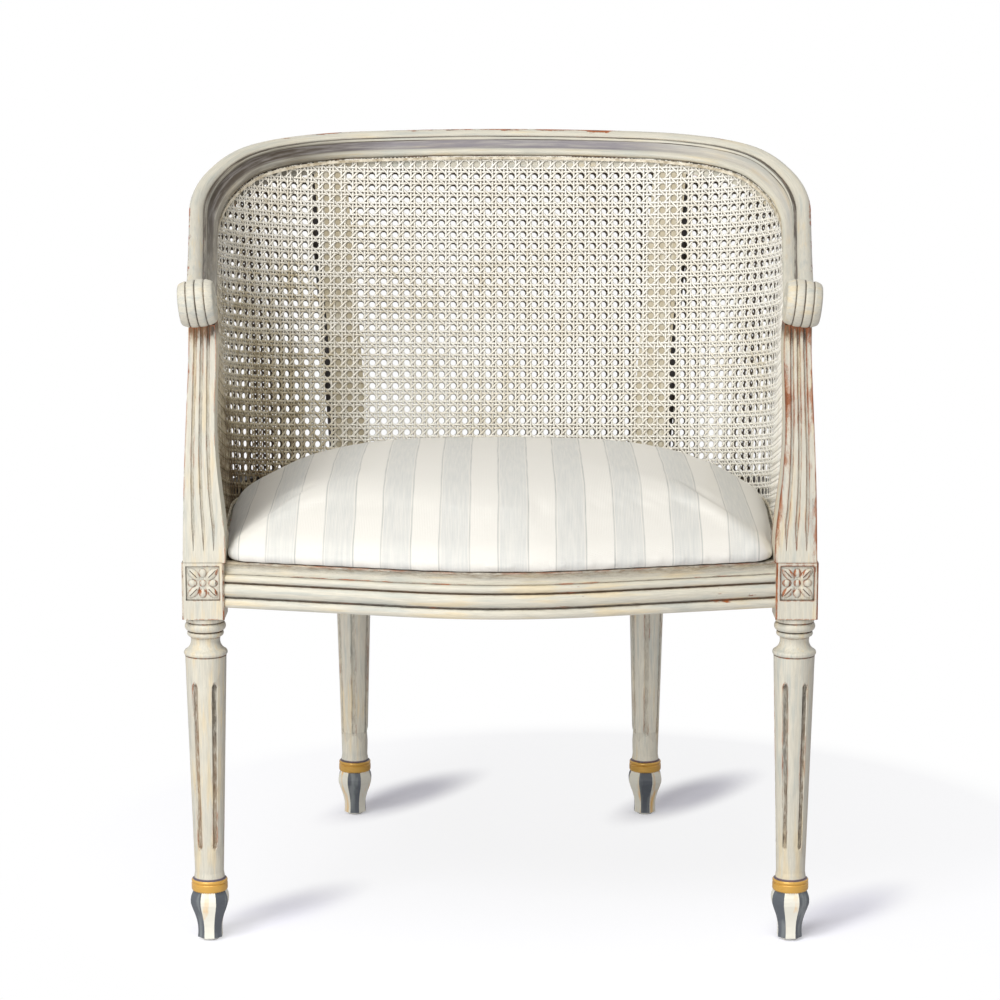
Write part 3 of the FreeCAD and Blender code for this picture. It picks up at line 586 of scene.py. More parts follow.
# Settings
class FramePaint(bpy.types.PropertyGroup):
    ivory: colour("Ivory", "Top coat of the frame", "#CEC9B8")
    cream: colour("Cream", "Warm patches of the top coat", "#D6C9AB")
    stone: colour("Stone", "Cool greenish patches of the top coat", "#BFBFB3")
    glaze: colour("Glaze", "Grey-violet glaze in the cove of the top rail", "#847F82")
    violet: colour("Violet", "Thin line above the gold rings", "#6F6773")
    # grime_and_shade also paints the shade below a ledge and in the left corner of the top rail
    grime_and_shade: colour("Grime", "Dark wax left in the hollows", "#41372A")
    umber: colour("Umber", "Browner wax in the shallow hollows", "#7D5F3E")
    undercoat: colour("Undercoat", "Rose-brown coat under the ivory", "#A06C50")
    bare: colour("Bare wood", "Rust-coloured wood where both coats are rubbed off", "#9E5727")
    stain: colour("Stain", "Brown stain where the wood is rubbed most", "#6B3E22")
    # Used as stain and as painted shade: the upright sides and cane sills lie in the gap between the
    # sheets
    shade: colour("Shade", "Dark stain on the sides of the uprights between the cane", "#241C13")
    tan: colour("Tan", "Thin tan paint on the uprights between the cane", "#B3A88E")
    gold: colour("Gold", "Gold paint of the rings", "#D0A14B")
    charcoal: colour("Charcoal", "Dark facets of the feet", "#565B60")
    grey: colour("Grey", "Lighter streaks in the dark facets", "#7F8484")
    pale: colour("Pale", "Light facets of the feet", "#E9E6D6")
    honey: colour("Honey", "Yellow streaks in the light facets", "#EFC277")


class CaneWeave(bpy.types.PropertyGroup):
    pitch: length("Pitch", "Distance between holes, half an inch", 0.013)
    pair_offset: length("Pair offset", "From the middle of a pair to each of its strands", 0.00195)
    strand_width: length("Strand width", "Width of one strand", 0.0024)
    strand_thickness: length("Strand thickness", "Thickness of one strand", 0.00056)
    light: colour("Light cane", "Palest strands", "#F8F5EB")
    middle: colour("Middle cane", "Usual strands", "#EFE9DA")
    dark: colour("Dark cane", "Browner strands", "#CDC0A2")
    # Darkest stop, reached only on the shaded left wall: painted shade
    shaded_left: colour("Aged cane", "Strands with hardly any paint left", "#6E5A3C")
    # raw is unpainted cane and also the painted shade between the two sheets
    raw: colour("Raw cane", "Unpainted side towards the inside of the frame", "#5C4A33")
    drop: length("Drop", "How far the outer weave lies below the inner one", 0.0034)
    aside: length("Aside", "How far the outer weave lies to the left of the inner one", 0.0011)


class SeatLook(bpy.types.PropertyGroup):
    voxel: length("Voxel", "Size of the cloth mesh before it is simulated", 0.0055)
    cap: length("Cap", "Furthest that the padding may swell", 0.004)
    hem: length("Hem", "Height of the lower edge that is held to the rail", 0.006)
    pressure: FloatProperty(name="Pressure", description="How hard the padding swells", default=4.0)
    middle: length("Middle", "Where the pad stays as it is enlarged, along Y", 0.15)
    slack: FloatVectorProperty(name="Slack", description="Size of the pad before it swells",
                               default=(1.012, 1.012, 0.93), subtype="XYZ")
    stripe: length("Stripe", "Width of one stripe of the ticking", 0.028)
    ground: colour("Ground", "Ivory ground of the ticking", "#E0DDD4")
    band: colour("Band", "Pale grey band of the ticking", "#CCCCC6")
    line: colour("Line", "Thin grey lines beside each band", "#B6B6B0")
    frames: IntProperty(name="Frames", description="Steps of the cloth simulation", default=20,
                        min=1)


class StudioLook(bpy.types.PropertyGroup):
    floor: colour("Floor", "Colour that the floor gives back to the chair", "#E9E8EC")
    air: colour("Air", "Tint of the light all round", "#FCFBFF")
    key: power("Key", "Strength of the high key lamp", 46.0)
    top: power("Top", "Strength of the wide lamp overhead", 47.0)
    fill: power("Fill", "Strength of the low wide lamp in front", 50.0)
    sky: FloatProperty(name="Sky", description="Strength of the light all round", default=0.36)


# Finishes
def painted_wood(name, grain=(1.0, 1.0, 14.0), section=False, leg=False, wear=0.0, wax=0.0,
                 brightness=1.0, shade_and_dirt_below=None):
    """Chalky oil paint over stained beech: brush streaks, wax in the hollows, rubbed edges.

    A section is painted along its run, and a leg has a violet line and flaked edges on its post.
    wear and wax add to both, with wax also painting shade in the flutes; brightness scales the
    coat, and shade_and_dirt_below gives two heights below a ledge for painted shade and dirt.
    """
    look = bpy.context.scene.chair_paint
    made, tree, shader = new_material(name, {"Specular IOR Level": 0.4, "Coat Weight": 0.0})
    spot = millimetres(tree)
    sideways, _, height = add(tree, "SeparateXYZ", (spot,), out=slice(3))
    if section:
        local = add(tree, "Attribute", attribute_name="section", out="Vector")
        strokes = add(tree, "Mapping", {"Vector": local, "Scale": (0.9, 0.9, 0.05)})
        flakes = add(tree, "Mapping", {"Vector": local, "Scale": (1.0, 1.0, 0.22)})
    else:
        strokes = millimetres(tree, grain)
        flakes = millimetres(tree, tuple(1.0 if g < 2 else 4.5 for g in grain))

    # Broad patches some 60 mm across and brush marks 5 mm wide
    patch = add(tree, "TexNoise", {"Vector": spot, "Scale": 0.016, "Detail": 2.0})
    stroke = add(tree, "TexNoise", {"Vector": strokes, "Scale": 0.2, "Detail": 3.0})
    shade = add(tree, "Math", (patch, 0.6, stroke), operation="MULTIPLY_ADD")
    shade = add(tree, "MapRange", (shade, 0.55, 1.05))
    base = add(tree, "ValToRGB", (shade,), [
        (0.1, look.stone), (0.42, look.ivory), (0.62, look.ivory), (0.9, look.cream)])
    # Bristle streaks, 1 to 2 mm wide
    bristle = add(tree, "TexNoise", {
        "Vector": strokes, "Scale": 0.75, "Detail": 5.0, "Roughness": 0.65})
    tone = add(tree, "MapRange", (bristle, 0.3, 0.7, 0.84 * brightness, 1.06 * brightness))
    base = add(tree, "VectorMath", {0: base, "Scale": tone}, operation="SCALE")
    if section:
        base = rail_bands(tree, base, local, look)
    if leg:
        # Thin violet line above the gold ring
        line = add(tree, "MapRange", (height, LINE_TOP + 0.4, LINE_TOP - 0.2))
        base = add(tree, "Mix", {FACTOR: line, FIRST: base, SECOND: look.violet}, **RGBA)

    # Wax and dirt in the hollows, ragged along its edge: brown where they are shallow. Where wax
    # raises it, as in the flutes, the darkening is painted shade as well as wax.
    open_sky = add(tree, "AmbientOcclusion", {"Distance": 0.006}, samples=6, only_local=True,
                   out="AO")
    ragged = add(tree, "TexNoise", {
        "Vector": flakes, "Scale": 0.45, "Detail": 6.0, "Roughness": 0.7})
    depth = add(tree, "Math", (ragged, 0.9, open_sky), operation="MULTIPLY_ADD")
    # Painted shade and dirt below a ledge: under the scrolls, and along the seat rails under the
    # cushion
    if shade_and_dirt_below:
        under = add(tree, "MapRange", (height, *shade_and_dirt_below, 0.0, 0.6))
        depth = add(tree, "Math", (depth, under), operation="SUBTRACT")
    clean = add(tree, "MapRange", (depth, 0.92 + wax, 1.2 + wax))
    smear = add(tree, "TexNoise", {"Vector": strokes, "Scale": 0.06, "Detail": 3.0})
    smear = add(tree, "MapRange", (smear, 0.42, 0.6))
    dirt_and_shade = add(tree, "Mix", {FACTOR: smear, FIRST: look.grime_and_shade, SECOND: look.umber}, **RGBA)
    base = add(tree, "Mix", {FACTOR: clean, FIRST: dirt_and_shade, SECOND: base}, **RGBA)
    # Crisp dark line along the bottom of every crease
    crease = add(tree, "AmbientOcclusion", {"Distance": 0.0016}, samples=4, only_local=True,
                 out="AO")
    crease = add(tree, "MapRange", (crease, 0.62, 0.86, 0.9, 0.0))
    base = add(tree, "Mix", {FACTOR: crease, FIRST: base, SECOND: look.grime_and_shade}, **RGBA)

    # Rubbed edges: where a rounded normal leaves the true one on an open edge
    rounded = add(tree, "Bevel", {"Radius": 0.003 if leg else 0.0025}, samples=6)
    true_normal = add(tree, "NewGeometry", out="Normal")
    same = add(tree, "VectorMath", (rounded, true_normal), operation="DOT_PRODUCT", out="Value")
    edge = add(tree, "MapRange", (same, 0.985, 0.85))
    edge = add(tree, "Math", (edge, open_sky), operation="MULTIPLY")
    if section:
        edge = rubbed_rail(tree, edge, local)
    # Chips are a few millimetres across and come in stretches some 90 mm apart
    chip = add(tree, "TexNoise", {
        "Vector": flakes, "Scale": 0.22, "Detail": 6.0, "Roughness": 0.66})
    stretch = add(tree, "TexNoise", {"Vector": spot, "Scale": 0.013, "Detail": 1.0})
    worn = add(tree, "Math", (stretch, 0.9, wear), operation="MULTIPLY_ADD")
    worn = add(tree, "Math", (chip, 1.3, worn), operation="MULTIPLY_ADD")
    # The right-hand edges of the legs are rubbed hardest
    rub = add(tree, "MapRange", (sideways, -1.0, 1.0, 0.33, 0.42)) if leg else 0.33
    worn = add(tree, "Math", (edge, rub, worn), operation="MULTIPLY_ADD")
    if leg:
        # On the posts the paint has flaked off in strips beside the edges, most on the right
        strip = add(tree, "AmbientOcclusion", {"Distance": 0.008}, samples=6, inside=True, out="AO")
        strip = add(tree, "MapRange", (strip, 0.95, 0.6))
        flaked = add(tree, "MapRange", (sideways, -1.0, 1.0, 0.16, 0.42))
        above = add(tree, "MapRange", (height, BLOCK_BOTTOM, BLOCK_BOTTOM + 70))
        flaked = add(tree, "Math", (flaked, above), operation="MULTIPLY")
        worn = add(tree, "Math", (strip, flaked, worn), operation="MULTIPLY_ADD")
    rubbed = add(tree, "MapRange", (worn, 1.5, 1.515))
    # Under the paint: dark edge, undercoat, then bare wood and its stain where it is worn most
    hue = add(tree, "TexNoise", {"Vector": spot, "Scale": 0.08, "Detail": 2.0})
    hue = add(tree, "Math", (hue, 0.5, worn), operation="MULTIPLY_ADD")
    hue = add(tree, "MapRange", (hue, 1.7, 2.05))
    under = add(tree, "ValToRGB", (hue,), [
        (0.0, look.grime_and_shade), (0.14, look.stain), (0.24, look.undercoat), (0.32, look.undercoat),
        (0.44, look.bare), (0.85, look.bare), (1.0, look.stain)])
    base = add(tree, "Mix", {FACTOR: rubbed, FIRST: base, SECOND: under}, **RGBA)

    # Brush marks some 0.05 mm deep, and the step down at a chip
    rough = add(tree, "MapRange", (bristle, 0.0, 1.0, 0.42, 0.62))
    relief = add(tree, "Math", (bristle, 0.5), operation="MULTIPLY")
    relief = add(tree, "Math", (relief, rubbed), operation="SUBTRACT")
    bump = add(tree, "Bump", {"Height": relief, "Strength": 0.5, "Distance": 0.00025})
    feed(shader, {"Base Color": base, "Roughness": rough, "Normal": bump})
    return made


def rubbed_rail(tree, edge, local):
    """Rubbed edges with the crown of the crest and the outer side of an arm added to them."""
    outwards, down, run = add(tree, "SeparateXYZ", (local,), out=slice(3))
    far = add(tree, "Math", (run,), operation="ABSOLUTE")
    crown = add(tree, "MapRange", (down, -4.0, -0.6))
    on_arm = add(tree, "Math", (far, run_at(U_JOINT)), operation="GREATER_THAN")
    side = add(tree, "MapRange", (outwards, 10.5, 13.5))
    crown = add(tree, "Mix", {0: on_arm, 2: crown, 3: side}, data_type="FLOAT")
    edge = add(tree, "Math", (edge, crown), operation="MAXIMUM")
    # Hands rub the middle of the crest most, and the joints were filled and painted over
    grip = add(tree, "MapRange", (far, 170.0, 60.0, 1.0, 1.5))
    gap = add(tree, "Math", (far, run_at(U_JOINT)), operation="SUBTRACT")
    gap = add(tree, "Math", (gap,), operation="ABSOLUTE")
    gap = add(tree, "MapRange", (gap, 3.0, 6.0))
    edge = add(tree, "Math", (edge, grip), operation="MULTIPLY")
    return add(tree, "Math", (edge, gap), operation="MULTIPLY")


def rail_bands(tree, base, local, look):
    """The coat with glaze in the cove of the top rail and wax lines beside its beads."""
    outwards, down, run = add(tree, "SeparateXYZ", (local,), out=slice(3))
    depth = add(tree, "MapRange", (down, 0.0, -RAIL_DEPTH))
    inner = add(tree, "Math", (outwards, 0.5), operation="LESS_THAN")
    along = add(tree, "Mapping", {"Vector": local, "Scale": (0.3, 0.3, 0.02)})
    patch = add(tree, "TexNoise", {"Vector": along, "Scale": 1.0, "Detail": 5.0, "Roughness": 0.6})
    strength = add(tree, "MapRange", (patch, 0.3, 0.55, 0.6, 1.0))

    # The glaze fades out along the arms, and on the right it fades to a trace
    far = add(tree, "Math", (run,), operation="ABSOLUTE")
    fade = add(tree, "MapRange", (far, 430.0, 640.0, 1.0, 0.2))
    trace = add(tree, "MapRange", (run, 130.0, 240.0, 1.0, 0.3))
    cove = add(tree, "ValToRGB", (depth,), bands((0.262, 0.28, 0.47, 0.5)))
    for share in (inner, fade, trace, strength):
        cove = add(tree, "Math", (cove, share), operation="MULTIPLY")
    # Painted shade in the left corner: the cove darkest, and the whole inner moulding darkened there
    corner = add(tree, "MapRange", (run, -120.0, -240.0))
    corner_shade_veins = add(tree, "MapRange", (patch, 0.36, 0.56))
    corner_shade_veins = add(tree, "Math", (corner, corner_shade_veins), operation="MULTIPLY")
    glaze = add(tree, "Mix", {FACTOR: corner_shade_veins, FIRST: look.glaze, SECOND: look.grime_and_shade}, **RGBA)
    base = add(tree, "Mix", {FACTOR: cove, FIRST: base, SECOND: glaze}, **RGBA)
    corner_shade = add(tree, "MapRange", (down, -6.0, -10.0, 0.0, 0.75))
    for share in (corner, inner, strength):
        corner_shade = add(tree, "Math", (corner_shade, share), operation="MULTIPLY")
    base = add(tree, "Mix", {FACTOR: corner_shade, FIRST: base, SECOND: look.grime_and_shade}, **RGBA)

    lines = add(tree, "ValToRGB", (depth,), bands(
        (0.176, 0.182, 0.2, 0.206), (0.25, 0.256, 0.274, 0.28), (0.648, 0.656, 0.692, 0.7)))
    broken = add(tree, "MapRange", (patch, 0.4, 0.6, 1.0, 0.5))
    for share in (inner, broken):
        lines = add(tree, "Math", (lines, share), operation="MULTIPLY")
    return add(tree, "Mix", {FACTOR: lines, FIRST: base, SECOND: look.grime_and_shade}, **RGBA)


def bands(*places):
    """Stops of a ramp that is black but for white bands, each with its four places."""
    black, white = (0, 0, 0, 1), (1, 1, 1, 1)
    return [stop for band in places for stop in zip(band, (black, white, white, black))]


def cane_finish():
    """Split rattan cane under thin ivory paint: each strand has its own shade and fine fibres."""
    look = bpy.context.scene.chair_cane
    made, tree, shader = new_material("painted_rattan_cane", {
        "Roughness": 0.5, "Specular IOR Level": 0.4})
    strand = add(tree, "Attribute", attribute_name="strand", out="Vector")
    along, up, own = add(tree, "SeparateXYZ", (strand,), out=slice(3))
    # Paint rubbed thin in patches some 70 mm across
    patch = add(tree, "TexNoise", {"Vector": millimetres(tree), "Scale": 0.014, "Detail": 3.0})
    fibres = add(tree, "CombineXYZ", (along, own))
    fibres = add(tree, "Mapping", {"Vector": fibres, "Scale": (0.06, 40.0, 1.0)})
    fibre = add(tree, "TexNoise", {"Vector": fibres, "Scale": 1.0, "Detail": 3.0})
    tone = add(tree, "Math", (own, 0.3, patch), operation="MULTIPLY_ADD")
    tone = add(tree, "Math", (fibre, 0.35, tone), operation="MULTIPLY_ADD")
    tone = add(tree, "MapRange", (tone, 0.62, 1.25, 0.0, 0.6))
    # Painted shade: darker and browner towards the shaded left wall, most of all low down
    sideways, _, height = add(tree, "SeparateXYZ", (millimetres(tree),), out=slice(3))
    left = add(tree, "MapRange", (sideways, -130.0, -280.0, 0.0, 0.62))
    low = add(tree, "MapRange", (height, 640.0, 420.0, 0.3, 1.25))
    tone = add(tree, "Math", (left, low, tone), operation="MULTIPLY_ADD")
    face = add(tree, "ValToRGB", (tone,), [
        (0.08, look.light), (0.4, look.middle), (0.66, look.dark), (1.0, look.shaded_left)])
    # The side towards the hollow frame is unpainted, and its dark raw colour also paints the shade
    # between the sheets
    painted = add(tree, "MapRange", (up, -0.5, 0.1))
    base = add(tree, "Mix", {FACTOR: painted, FIRST: look.raw, SECOND: face}, **RGBA)
    feed(shader, {"Base Color": base})
    return made


def ticking():
    """Woven cotton ticking: an ivory ground with soft grey bands, each between two thin lines."""
    look = bpy.context.scene.chair_seat
    made, tree, shader = new_material("cotton_ticking", {
        "Roughness": 0.82, "Sheen Weight": 0.15, "Sheen Roughness": 0.5, "Specular IOR Level": 0.25})
    spot = millimetres(tree)
    drift = add(tree, "TexNoise", {"Vector": spot, "Scale": 0.012, "Detail": 1.0})
    sideways = add(tree, "SeparateXYZ", (spot,))
    across = add(tree, "Math", (drift, 3.0, sideways), operation="MULTIPLY_ADD")
    turn = add(tree, "Math", (across, look.stripe * 2000), operation="DIVIDE")
    phase = add(tree, "Math", (turn, 0.25), operation="ADD")
    share = add(tree, "Math", (phase, 1.0), operation="FLOORED_MODULO")
    ground, band, line = look.ground, look.band, look.line
    stripes = add(tree, "ValToRGB", (share,), [
        (0.0, ground), (0.225, ground), (0.235, line), (0.25, line), (0.262, ground), (0.278, band),
        (0.722, band), (0.738, ground), (0.75, line), (0.765, line), (0.775, ground), (1.0, ground)])
    # Uneven dye along the warp
    slub = millimetres(tree, (2.0, 38.0, 38.0))
    slub = add(tree, "TexNoise", {"Vector": slub, "Scale": 1.0, "Detail": 4.0})
    fade = add(tree, "MapRange", (slub, 0.32, 0.68, 0.55, 0.0))
    base = add(tree, "Mix", {FACTOR: fade, FIRST: stripes, SECOND: ground}, **RGBA)
    # Threads, drawn 1.6 mm apart so that they show
    warp = add(tree, "TexWave", {"Vector": spot, "Scale": 0.195}, bands_direction="X", out="Fac")
    weft = add(tree, "TexWave", {"Vector": spot, "Scale": 0.195}, bands_direction="Y", out="Fac")
    threads = add(tree, "Math", (warp, weft), operation="ADD")
    bump = add(tree, "Bump", {"Height": threads, "Strength": 0.35, "Distance": 0.0002})
    feed(shader, {"Base Color": base, "Normal": bump})
    return made


def plain_weave(name, first, second, thread):
    """Coarse plain weave, threads a given number of millimetres apart."""
    made, tree, shader = new_material(name, {"Roughness": 0.9, "Specular IOR Level": 0.2})
    waves = {"Vector": millimetres(tree), "Scale": 0.314 / thread, "Distortion": 0.6}
    warp = add(tree, "TexWave", waves, bands_direction="X", out="Fac")
    weft = add(tree, "TexWave", waves, bands_direction="Y", out="Fac")
    threads = add(tree, "Math", (warp, weft), operation="MULTIPLY")
    base = add(tree, "ValToRGB", (threads,), [(0.0, linear(first)), (0.8, linear(second))])
    bump = add(tree, "Bump", {"Height": threads, "Distance": 0.0004})
    feed(shader, {"Base Color": base, "Normal": bump})
    return made


def grained(name, sockets, stretch, scale, detail, stops, relief=0.0):
    """Material that one noise colours through a ramp, with a relief in metres."""
    made, tree, shader = new_material(name, sockets)
    spot = millimetres(tree, stretch)
    noise = add(tree, "TexNoise", {"Vector": spot, "Scale": scale, "Detail": detail})
    feed(shader, {"Base Color": add(tree, "ValToRGB", (noise,), stops)})
    if relief:
        feed(shader, {"Normal": add(tree, "Bump", {"Height": noise, "Distance": relief})})
    return made


def beech():
    """Unfinished beech: pale straight grain with short dark flecks."""
    wood = {"Roughness": 0.62, "Specular IOR Level": 0.3}
    return grained("raw_beech", wood, (9.0, 1.6, 1.6), 0.6, 5.0, [
        (0.3, linear("#8F6A45")), (0.5, linear("#B98F63")), (0.7, linear("#CFAA7E"))], 0.0002)


def reed():
    """Split reed spline, pale with a waxy side."""
    return grained("reed_spline", {"Roughness": 0.5}, (1.0, 1.0, 1.0), 0.12, 4.0, [
        (0.35, linear("#A99B80")), (0.55, linear("#D8CEB8")), (0.7, linear("#E8E0CC"))])


def gold_paint():
    """Bronze-powder gold paint, in darker and lighter bands round the ring."""
    gold = bpy.context.scene.chair_paint.gold
    metal = {"Metallic": 0.25, "Roughness": 0.34}
    return grained("gold_paint", metal, (4.0, 4.0, 1.0), 0.35, 5.0, [
        (0.22, linear("#A8742C")), (0.38, gold), (0.62, gold), (0.8, linear("#EBC06A"))], 0.0002)


def facet_paint(name, ground, streak, share):
    """Hand-brushed enamel on a foot's facet: long soft streaks of a second colour."""
    enamel = {"Roughness": 0.4, "Specular IOR Level": 0.45}
    return grained(name, enamel, (1.0, 1.0, 9.0), 0.13, 2.0, [
        (share - 0.05, ground), (share + 0.15, streak)])


def plain(name, code, roughness, metallic=0.0):
    """Moulded or drawn part: a fine even grain and slight mottling."""
    made, tree, shader = new_material(name, {"Roughness": roughness, "Metallic": metallic})
    noise = add(tree, "TexNoise", {"Vector": millimetres(tree), "Scale": 0.4, "Detail": 2.0})
    tone = add(tree, "MapRange", (noise, 0.0, 1.0, 0.85, 1.12))
    base = add(tree, "VectorMath", {0: linear(code)[:3], "Scale": tone}, operation="SCALE")
    feed(shader, {"Base Color": base})
    return made


# Legs and scrolls
LEG_PARTS = ("shaft", "ring", "front facets", "side facets", "flutes", "corners", "upright",
             "upright sides")


def paint_leg(node, x, y, finishes):
    """Finish each face of a leg by its place, in the order of LEG_PARTS."""
    piece = frame["nodes"][node]
    coat(piece, *finishes)
    for face in piece.data.polygons:
        spot = face.center * 1000
        across, back = spot.x - x, spot.y - SHIFT_Y - y
        part = "shaft"
        if spot.z < FOOT_TOP:
            facet = round(math.atan2(back, across) / (math.pi / 4)) % 2
            part = "side facets" if facet else "front facets"
        elif spot.z < RING_TOP + 0.1:
            part = "ring"
        elif FLUTE_ENDS[0] < spot.z < FLUTE_ENDS[1]:
            share = (spot.z - SHAFT_LOW[1]) / (SHAFT_HIGH[1] - SHAFT_LOW[1])
            skin = SHAFT_LOW[0] + (SHAFT_HIGH[0] - SHAFT_LOW[0]) * share
            if math.hypot(across, back) < skin - FLUTE_SINK:
                part = "flutes"
        elif BLOCK_BOTTOM < spot.z < SEAT_RAIL_TOP and 0.3 < abs(face.normal.x) < 0.95:
            part = "corners"
        elif spot.z > SEAT_RAIL_TOP + 0.5 and y > 0:
            # The sides of an upright, deep between the cane sheets, get the near-black stain as
            # painted shade
            part = "upright" if abs(face.normal.y) > abs(face.normal.x) else "upright sides"
        face.material_index = LEG_PARTS.index(part)


def scroll(name, sign):
    """Rolled end of an arm: a grooved barrel across it, with a turned button at each end."""
    half = SCROLL_WIDTH / 2
    profile = [(half + past, r) for past, r in SCROLL_BUTTON]
    reed_width = SCROLL_WIDTH / SCROLL_REEDS
    for k in range(SCROLL_REEDS):
        for step in range(13):
            t = -1.0 + step / 6
            across = half - reed_width * (k + 0.5 + t * 0.49)
            barrel = SCROLL_RADIUS - SCROLL_ROUNDING * abs(across / half) ** 2.6
            rise = math.sqrt(max(1.0 - t**4, 0.0))
            profile.append((across, barrel - SCROLL_GROOVE * (1.0 - rise)))
    profile += [(-a, r) for a, r in profile[len(SCROLL_BUTTON) - 1::-1]]
    tilt = math.radians(SCROLL_TILT)
    points = []
    for a, r in profile[1:-1]:
        for k in range(SCROLL_SIDES):
            angle = 2 * math.pi * k / SCROLL_SIDES
            up, back = r * math.sin(angle), r * math.cos(angle)
            out = a * math.cos(tilt) + up * math.sin(tilt)
            points.append((sign * (SCROLL_CENTRE[0] + out), SCROLL_CENTRE[1] + back,
                           SCROLL_CENTRE[2] - a * math.sin(tilt) + up * math.cos(tilt)))
    piece = mesh_object(name, points, tube_faces(len(profile) - 2, SCROLL_SIDES))
    outward(piece)
    bpy.ops.object.shade_smooth_by_angle(angle=math.radians(50))
    return piece


def post_head(name, sign):
    """Block under the end of an arm, where the rail stands on its post."""
    bpy.ops.object.select_all(action="DESELECT")
    low, high = Vector(POST_HEAD[0]), Vector(POST_HEAD[1])
    x, y, z = (low + high) / 2000
    bpy.ops.mesh.primitive_cube_add(size=1.0, location=(sign * x, y + SHIFT_Y / 1000, z))
    piece = bpy.context.active_object
    piece.name = name
    piece.scale = (high - low) / 1000
    bpy.ops.object.transform_apply(location=True, rotation=True, scale=True)
    bpy.ops.object.mode_set(mode="EDIT")
    bpy.ops.mesh.select_all(action="SELECT")
    bpy.ops.mesh.bevel(offset=0.0008, segments=2)
    bpy.ops.object.mode_set(mode="OBJECT")
    return piece


# Seat
def simulate(pad, look):
    """Let the cover swell over its padding and settle, with its lower edge held to the rail."""
    held = pad.vertex_groups.new(name="held")
    start = np.array([v.co for v in pad.data.vertices])
    low = start[:, 2] < start[:, 2].min() + look.hem
    held.add(np.flatnonzero(low).tolist(), 1.0, "ADD")
    cloth = pad.modifiers.new("cloth", "CLOTH")
    settings = cloth.settings
    settings.vertex_group_mass = "held"
    settings.use_pressure = True
    settings.uniform_pressure_force = look.pressure
    settings.effector_weights.gravity = 0.0
    settings.quality = 5
    cloth.point_cache.frame_start = 1
    cloth.point_cache.frame_end = look.frames
    scene = bpy.context.scene
    for step in range(1, look.frames + 1):
        scene.frame_set(step)
    settled = pad.evaluated_get(bpy.context.evaluated_depsgraph_get())
    move = np.array([v.co for v in settled.data.vertices]) - start
    pad.modifiers.remove(cloth)
    scene.frame_set(1)
    far = np.linalg.norm(move, axis=1, keepdims=True)
    move *= np.minimum(1.0, look.cap / np.maximum(far, 1e-9))
    pad.data.vertices.foreach_set("co", (start + move).ravel())
    pad.data.update()
    pad.vertex_groups.clear()


# Stage, in metres
KEY_PLACE = (-1.6, -2.2, 2.9)
# Name, the setting that holds its power, size and place of each lamp, and where all of them point
LAMPS = (("soft_key", "key", 1.1, KEY_PLACE), ("soft_top", "top", 2.4, (-0.4, -1.6, 3.6)),
         ("front_fill", "fill", 1.6, (-1.3, -3.3, 1.0)))
LAMP_AIM = Vector((0.0, 0.0, 0.4))
# From a foot to the middle of its shadow, and how much longer than wide the shadow is
STREAK_REACH = 0.09
STREAK_NARROW = 3.0
FLOOR_SIZE = 40.0
# What the camera sees of the floor: above white, so that lit paper clips to white, and bluer,
# which paints a blue tint into its shadows
FLOOR_SEEN = (1.12, 1.12, 1.22, 1.0)
CAMERA_PLACE = (0.0, -3.1979, 0.965)
CAMERA_PITCH = 80.0
CAMERA_LENS = 111.6


def streak_middles():
    """Middle of each leg's shadow on the floor: a little way from its foot, away from the key."""
    away = STREAK_REACH / math.hypot(KEY_PLACE[0], KEY_PLACE[1])
    for node in ("front_glide_left", "front_glide_right", "rear_glide_left", "rear_glide_right"):
        low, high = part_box(node)
        yield (low.x + high.x) / 2 - KEY_PLACE[0] * away, (low.y + high.y) / 2 - KEY_PLACE[1] * away


def paper(look):
    """White paper, washed out to the camera but where the legs throw their shadows."""
    made, tree, shader = new_material("white_paper_floor", {
        "Roughness": 1.0, "Specular IOR Level": 0.0, "Emission Color": (1, 1, 1, 1)})
    seen = add(tree, "LightPath")
    spot = add(tree, "TexCoord", out="Object")
    near = 1.0
    turn = math.atan2(KEY_PLACE[1], KEY_PLACE[0])
    for x, y in streak_middles():
        gap = add(tree, "VectorMath", (spot, (x, y, 0.0)), operation="SUBTRACT")
        gap = add(tree, "VectorRotate", {"Vector": gap, "Angle": -turn}, rotation_type="Z_AXIS")
        gap = add(tree, "VectorMath", (gap, (1.0, STREAK_NARROW, 1.0)), operation="MULTIPLY")
        gap = add(tree, "VectorMath", (gap,), operation="LENGTH", out="Value")
        near = add(tree, "Math", (near, gap), operation="MINIMUM")
    wash = add(tree, "MapRange", (near, 0.04, 0.17, 0.1, 0.84), interpolation_type="SMOOTHSTEP")
    far = add(tree, "VectorMath", (spot, (0.08, 0.06, 0.0)), operation="DISTANCE", out="Value")
    far = add(tree, "MapRange", (far, 0.3, 0.6), interpolation_type="SMOOTHSTEP")
    wash = add(tree, "Math", (wash, far), operation="MAXIMUM")
    wash = add(tree, "Math", (wash, seen), operation="MULTIPLY")
    shade = add(tree, "Mix", {FACTOR: seen, FIRST: look.floor, SECOND: FLOOR_SEEN}, **RGBA)
    shade = add(tree, "Mix", {FACTOR: wash, FIRST: shade, SECOND: (0, 0, 0, 1)}, **RGBA)
    feed(shader, {"Base Color": shade, "Emission Strength": wash})
    return made


# Operators
SIDES = (("left", -1), ("right", 1))


def dress(material, *nodes):
    """Give carried-over nodes their material."""
    for node in nodes:
        coat(frame["nodes"][node], material)


